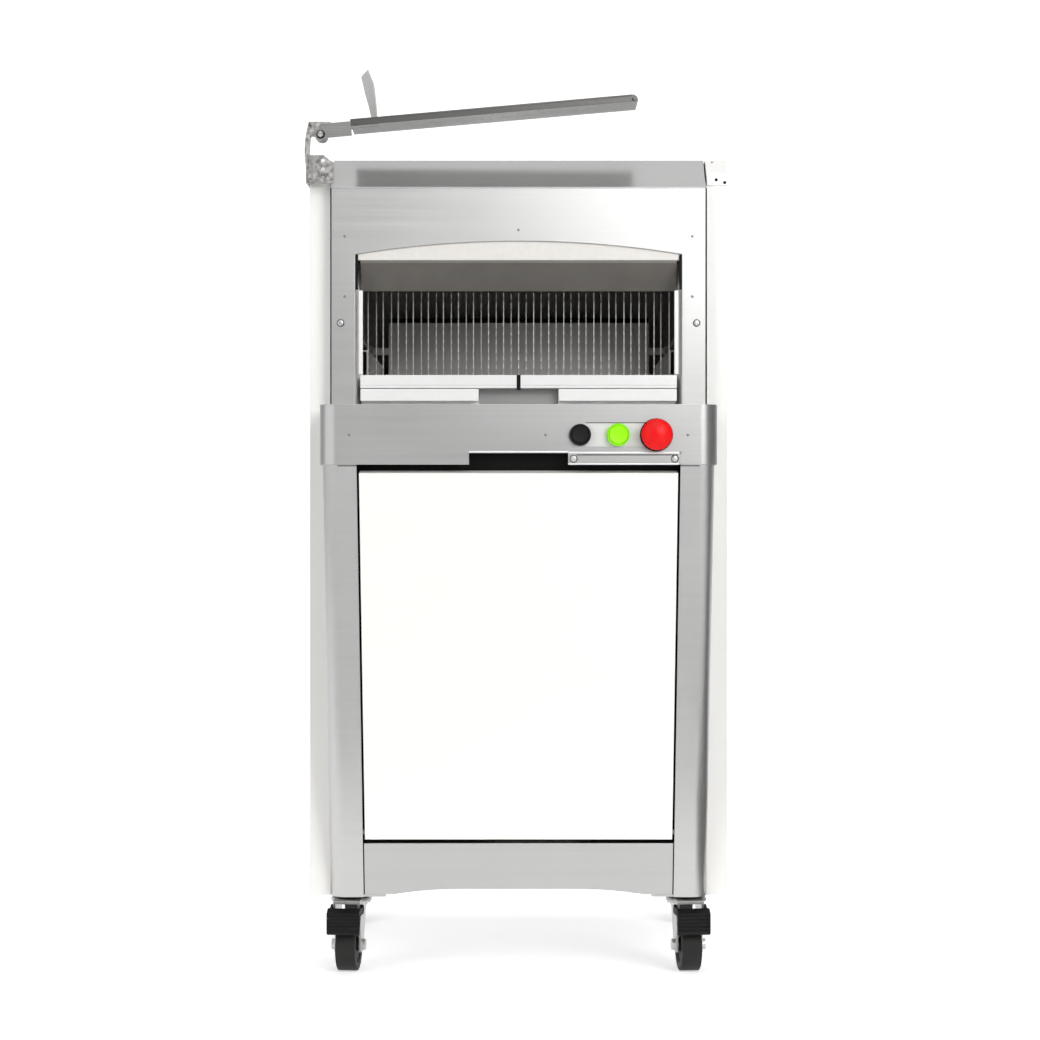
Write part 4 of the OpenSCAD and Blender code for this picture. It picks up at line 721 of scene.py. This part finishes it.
for column in (-95.0, 95.0):
    for row in range(louvre_rows):
        low = louvre_low + louvre_pitch * row
        slat = block("louvre", (column - louvre_half, back_y - 0.6, low),
                     (column + louvre_half, back_y + louvre_lift, low + louvre_height))
        cut(slat, low + lip_height)
        bpy.ops.object.mode_set(mode="EDIT")
        bpy.ops.mesh.select_mode(type="VERT")
        bpy.ops.mesh.select_all(action="DESELECT")
        bpy.ops.object.mode_set(mode="OBJECT")
        for point in slat.data.vertices:
            proud = point.co.y * 1000 > back_y + louvre_lift - 1.0
            point.select = proud and point.co.z * 1000 > low + louvre_height - 1.0
        bpy.ops.object.mode_set(mode="EDIT")
        bpy.ops.transform.translate(value=(0, -louvre_slope / 1000, 0))
        bpy.ops.object.mode_set(mode="OBJECT")
        pick_faces(slat, lambda middle, normal: normal.z < -0.9)
        bpy.ops.mesh.inset(thickness=vent_rim / 1000, depth=0.0)
        push(-vent_depth)
        louvres.append(ease(slat, 0.8))
settle(join("pressed_louvres", louvres), "cabinet", painted_shade_and_reflection_white, "white_paint")
panel_screw_rings = [(4.2, 0), (4.2, 0.9), (3.7, 1.6), (2.6, 2.0), (1.8, 2.1), (1.7, 1.2)]
fixings = []
for x in (-245.0, 245.0):
    for z in (190.0, 420.0, 640.0, 860.0):
        fixings.append(turned("panel_screw", panel_screw_rings, (x, back_y, z), "Y", 20))
settle(join("back_screws", fixings), "cabinet", plated, "plain_steel")
dress("cord_gland", "gland_body", 0.4, "cabinet", black_plastic, "black_plastic")

# Loading lid: brushed stainless, rolled round two pins behind the hood, with a grip at its rear edge.
# The side that looks into the machine takes the same dark grey painted shade as the rear panel's inner side.
lid = two_tone(eased_copy("loading_lid", "folded_lid", 1.2), steel, inner_painted_shade, lambda middle, normal: normal.z < -0.5)
settle(lid, "lid", steel, "brushed_steel", "loading_lid")

# Push buttons: moulded plastic caps, black and green, each in a round collar of its own colour, and a red mushroom
# stop button on a wider, stepped black collar. Nuts hold them behind the apron. Each cap has a dished face, and the
# stop button has a ring of grip notches round its rim.
green_plastic = moulded("moulded_green", (0.29, 0.88, 0.004, 1), (0.35, 0.96, 0.010, 1), 0.30)
red_plastic = moulded("moulded_red", (0.74, 0.004, 0.005, 1), (0.85, 0.009, 0.009, 1), 0.26)

apron_y, button_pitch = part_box("outfeed_table")[0].y * 1000, 52.0
stop_low, stop_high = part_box("red_stop_button")
stop_x, button_z = (stop_low.x + stop_high.x) * 500, (stop_low.z + stop_high.z) * 500
black_spot, green_spot, red_spot = [(stop_x - button_pitch * step, apron_y, button_z) for step in (2, 1, 0)]


def collar(name, place, outer, inner):
    """A round-edged ring with a deep hollow for the cap."""
    rings = [(outer, 0), (outer, 8.4), (outer - 0.6, 9.6), (outer - 1.2, 10.0), (inner + 0.3, 9.8), (inner, 9.2),
             (inner, 1.5)]
    return turned(name, rings, place, "-Y")


black_collar = collar("black_collar", black_spot, 14.7, 11.8)
green_collar = collar("green_collar", green_spot, 15.5, 13.3)
red_collar = turned("red_collar", [(22.6, 0), (22.6, 2.6), (21.8, 3.2), (16.0, 3.4), (16.0, 6.6), (15.2, 7.7),
                                   (14.2, 8.0), (9.4, 8.0), (9.2, 7.2)], red_spot, "-Y")
settle(green_collar, "cabinet", green_plastic, "green_plastic")
switch_collars = join("switch_collars", [black_collar, red_collar])
settle(switch_collars, "cabinet", black_plastic, "black_plastic", "button_collars")

for colour, place, radius, material in (("black", black_spot, 11.5, black_plastic),
                                        ("green", green_spot, 13.0, green_plastic)):
    cap = turned(colour + "_cap", [(9.0, -14.0), (9.0, 5.8), (radius, 5.8), (radius, 10.4), (radius - 0.4, 11.3),
                                   (radius - 1.2, 11.8), (radius - 2.6, 11.6), (radius - 5.0, 11.1), (2.0, 10.9)],
                 place, "-Y")
    settle(cap, colour + "_switch", material, colour + "_plastic", colour + "_button")

stop = turned("red_mushroom", [(9.0, -14.0), (9.0, 14.3), (17.0, 14.3), (19.6, 14.9), (21.0, 16.2), (21.5, 18.0),
                               (21.5, 20.2), (20.9, 21.6), (19.4, 23.0), (16.8, 24.7), (13.4, 26.4), (9.2, 28.0),
                               (4.8, 29.0), (1.2, 29.3)], red_spot, "-Y", 96)
notch_pitch, notch_width, notch_depth = 15.0, 4.0, 0.7
rim_low, rim_high, rim_radius = 16.5, 21.0, 20.6


def grip_notch(middle, normal):
    """Whether a face lies in one of the notches round the stop button's rim."""
    across = Vector((middle.x - red_spot[0], middle.z - button_z))
    turn = math.degrees(math.atan2(across.y, across.x)) % notch_pitch
    return rim_low < apron_y - middle.y < rim_high and across.length > rim_radius and turn < notch_width


pick_faces(stop, grip_notch)
push(-notch_depth)
bpy.ops.object.shade_smooth_by_angle(angle=math.radians(35))
settle(stop, "stop_switch", red_plastic, "red_plastic", "red_stop_button")

# Legend plate: thin pale anodised sheet behind the buttons, glued to the apron, left blank.
# Its upper edge is painted black.
legend_low = (black_spot[0] + 7.0, apron_y - 0.8, button_z - 16.0)
legend_high = (red_spot[0] - 7.0, apron_y + 0.1, button_z + 17.0)
anodised, anodised_shader, anodised_place = finish("pale_anodised_sheet", Metallic=0.35)
satin = anodised_place.noise((8.0, 400.0, 400.0), 2.0)
satin.tint((0.56, 0.558, 0.548, 1), (0.64, 0.637, 0.625, 1)).into(anodised_shader, "Base Color")
(0.40 + satin * 0.12).into(anodised_shader, "Roughness")
legend = two_tone(stepped("legend_plate", legend_low, legend_high, 1.0, -0.5), anodised, dull_black,
                  lambda middle, normal: middle.z > legend_high[2] - 0.9)
settle(ease(legend, 0.1), "cabinet", anodised, "plain_steel")

# Hems: the apron's edge is turned back to a bead over the finger notch, and the cover strip has one along its top
# and bottom; all are in a pale steel as painted highlight. A black strip under the upper one is a painted shadow
# line.
# A pale copy of the brushed steel, painted highlight along the hems.
painted_highlight_steel = brushed("hem_stainless_painted_highlight", (0.78, 0.78, 0.775, 1), (0.90, 0.898, 0.892, 1), 0.20)
hems = []
for corner, opposite in (((-67.4, -336.0, 743.4), (67.4, -334.9, 746.0)),
                         ((67.6, -337.9, 742.4), (219.0, -336.3, 744.8)),
                         ((67.6, -337.9, 727.2), (219.0, -336.5, 729.0))):
    hems.append(ease(stepped("hem", corner, opposite, 0.6, 0.3), 0.4))
settle(join("hems_painted_highlight", hems), "cabinet", painted_highlight_steel, "brushed_steel")
shadow_line = stepped("shadow_line", (79.0, -337.25, 740.0), (217.0, -336.6, 741.3), 0.3, -0.2)
settle(ease(shadow_line, 0.1), "cabinet", dull_black, "black_paint")

# Screws and rivets: domed stainless heads with a round socket, over a black ring, on the face and the cover strip,
# and small flat rivets that hold the sheets to the chassis.
face_y, strip_y = [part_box(node)[0].y * 1000 for node in ("front_face", "cover_strip")]
dome_rings = [(4.6, 0), (4.6, 1.1), (4.3, 1.7), (3.7, 2.15), (2.8, 2.42), (2.0, 2.5), (1.9, 2.4), (1.9, 1.6)]
heads = []
for place in ((-254.0, face_y, 933.0), (254.0, face_y, 933.0), (75.0, strip_y, 735.4), (213.0, strip_y, 735.4)):
    dome = turned("dome_screw", dome_rings, place, "-Y", 24)
    dome.data.materials.append(plated)
    ring = turned("screw_ring", [(5.4, 0), (5.4, 0.25), (5.0, 0.4)], place, "-Y", 24)
    ring.data.materials.append(dull_black)
    heads += [dome, ring]
for place in ((-248.0, face_y, 1057.0), (248.0, face_y, 1057.0), (-248.0, face_y, 971.0), (248.0, face_y, 971.0),
              (0.0, face_y, 1066.0), (-231.0, apron_y, button_z), (37.0, apron_y, button_z),
              (231.0, apron_y, button_z), (220.5, apron_y, 744.0)):
    rivet = turned("rivet", [(2.0, 0), (2.0, 0.5), (1.8, 0.8), (1.2, 1.0)], place, "-Y", 20)
    rivet.data.materials.append(machined)
    heads.append(rivet)
settle(join("screw_heads", heads), "cabinet", plated, "plain_steel", "panel_screws")

# Scoop bracket and post: a drilled angle of raw steel screwed round the cabinet's left front corner, a bent strip
# that stands on it and a pivot block at the strip's top, all left unpainted and dulled by handling.
raw, raw_shader, raw_place = finish("dull_raw_steel", Metallic=1.0)
tarnish = ((raw_place.noise(150.0, 6.0) - 0.5) * 2.4 + 0.57).held()
scratch = raw_place.noise((30.0, 700.0, 30.0), 2.0)
(tarnish * 0.75 + scratch * 0.25).tint((0.05, 0.048, 0.045, 1), (0.60, 0.59, 0.57, 1)).into(raw_shader, "Base Color")
(0.26 + tarnish * 0.26).into(raw_shader, "Roughness")
relief(raw_shader, scratch, 0.08, 0.0003)
dress("scoop_bracket", "drilled_corner_bracket", 0.6, "cabinet", raw, "plain_steel")
dress("scoop_post", "bent_scoop_post", 0.6, "cabinet", raw, "plain_steel")

# Pivot bolt: a hexagon head of raw steel over a black washer, on the shank that the scoop's arm swings on.
# It is screwed into the pivot block.
shank_low, shank_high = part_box("scoop_pivot_bolt")
bolt_x = (shank_low.x + shank_high.x) * 500
bolt_z = (shank_low.z + shank_high.z) * 500
bolt_head = (bolt_x, shank_low.y * 1000, bolt_z)
bolt_length = (shank_high.y - shank_low.y) * 1000
hexagon = turned("hexagon", [(4.2, 0), (4.8, 0.6), (4.8, 3.4)], bolt_head, "Y", 6)
hexagon.data.materials.append(raw)
washer = turned("washer", [(5.6, 3.4), (6.0, 3.7), (6.0, 4.7), (5.6, 5.0)], bolt_head, "Y", 40)
washer.data.materials.append(dull_black)
shank = turned("shank", [(5.0, 4.9), (5.0, bolt_length - 0.6), (4.4, bolt_length)], bolt_head, "Y", 32)
shank.data.materials.append(raw)
settle(join("hexagon_pivot_bolt", [hexagon, washer, shank]), "cabinet", raw, "machined_steel", "scoop_pivot_bolt")

# Bagging scoop: a long shallow tray of stainless sheet on a flat arm that swings up on the pivot bolt. Its lips
# have a rolled bead, and a small rivet closes the rounded end.
# The scoop's steel comes in three darker copies as painted shade, chosen by which way a face looks: one for the arm
# and the tray, a darker one for the tray's front faces, its beads and its end rivet, and one for its underside.
scoop_painted_shade_steel = brushed("scoop_painted_shade_stainless", (0.26, 0.258, 0.253, 1), (0.36, 0.357, 0.35, 1), 0.16)
lip_painted_shade_steel = brushed("lip_painted_shade_stainless", (0.075, 0.074, 0.071, 1), (0.145, 0.143, 0.138, 1), 0.20)
underside_painted_shade_steel = brushed("underside_painted_shade_stainless", (0.30, 0.298, 0.293, 1), (0.39, 0.387, 0.38, 1), 0.16)
dress("scoop_arm", "flat_scoop_arm", 0.6, "scoop", scoop_painted_shade_steel, "plain_steel")
tray = two_tone(eased_copy("bagging_scoop", "shallow_scoop", 0.4), scoop_painted_shade_steel, lip_painted_shade_steel,
                lambda middle, normal: normal.y < -0.5)
tray.data.materials.append(underside_painted_shade_steel)
for face in tray.data.polygons:
    if face.material_index == 0 and face.normal.z < -0.9:
        face.material_index = 2
settle(tray, "scoop", scoop_painted_shade_steel, "plain_steel", "bagging_scoop")

tray_low, tray_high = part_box("bagging_scoop")
tray_tilt = math.radians(5.0)


def on_tray(along, rise):
    """The x and z, in millimetres, of a point so far along the tilted tray from the bolt, and so far above it."""
    return (bolt_x + along * math.cos(tray_tilt) - rise * math.sin(tray_tilt),
            bolt_z + along * math.sin(tray_tilt) + rise * math.cos(tray_tilt))


lip_rise, bead_start, bead_end = 16.6, 43.0, 441.0
bead_rings = [(0.9, bead_start), (1.5, bead_start + 0.6), (1.5, bead_end - 1.0), (0.9, bead_end)]
lip_x, lip_z = on_tray(0.0, lip_rise)
beads = []
for lip_y in (tray_low.y * 1000 + 1.0, tray_high.y * 1000 - 1.0):
    bead = turned("bead", bead_rings, (0, 0, 0), "X", 12)
    bead.rotation_euler = (0, -tray_tilt, 0)
    bead.location = (lip_x / 1000, lip_y / 1000, lip_z / 1000)
    select_only(bead)
    bpy.ops.object.transform_apply(location=True, rotation=True, scale=True)
    beads.append(bead)
rivet_along, rivet_rise = 444.0, 11.0
rivet_x, rivet_z = on_tray(rivet_along, rivet_rise)
rivet_place = (rivet_x, tray_low.y * 1000, rivet_z)
beads.append(turned("end_rivet", [(2.6, 0), (2.4, 0.7), (1.4, 1.1)], rivet_place, "-Y", 20))
settle(join("scoop_beads", beads), "scoop", lip_painted_shade_steel, "plain_steel")

# Paddle: a bowed leaf of pale, slightly cloudy plastic, the stop for the loaf's end.
# It is pressed into a slot of the tray.
leaf, leaf_shader, leaf_place = finish("cloudy_plastic", Specular_IOR_Level=0.4)
haze = leaf_place.noise(70.0, 4.0)
haze.tint((0.50, 0.50, 0.49, 1), (0.66, 0.66, 0.645, 1)).into(leaf_shader, "Base Color")
(0.30 + haze * 0.2).into(leaf_shader, "Roughness")
relief(leaf_shader, haze, 0.05, 0.0004)
dress("scoop_end_stop", "paddle_leaf", 0.5, "scoop", leaf, "plain_steel")

# Right corner plate: a small plate of white-coated sheet, held by two screws, with a third in the panel above it;
# their heads are black as painted shade of the screw holes. It covers the holes where a second bracket could go.
dress("right_corner_bracket", "corner_cover", 0.6, "cabinet", painted_shade_and_reflection_white, "white_paint")
plate_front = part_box("right_corner_bracket")[0].y * 1000
corner_rings = [(2.2, -2.0), (2.2, 0.5), (1.8, 0.8), (1.1, 0.9), (1.0, 0.3)]
# The screw heads are black as painted shade of the holes.
dots = []
for place in ((279.0, -156.5, 1167.0), (283.5, plate_front, 1140.0), (295.5, plate_front, 1136.0)):
    dots.append(turned("corner_screw", corner_rings, place, "-Y", 18))
settle(join("black_hole_shade_heads", dots), "cabinet", dull_black, "black_paint")
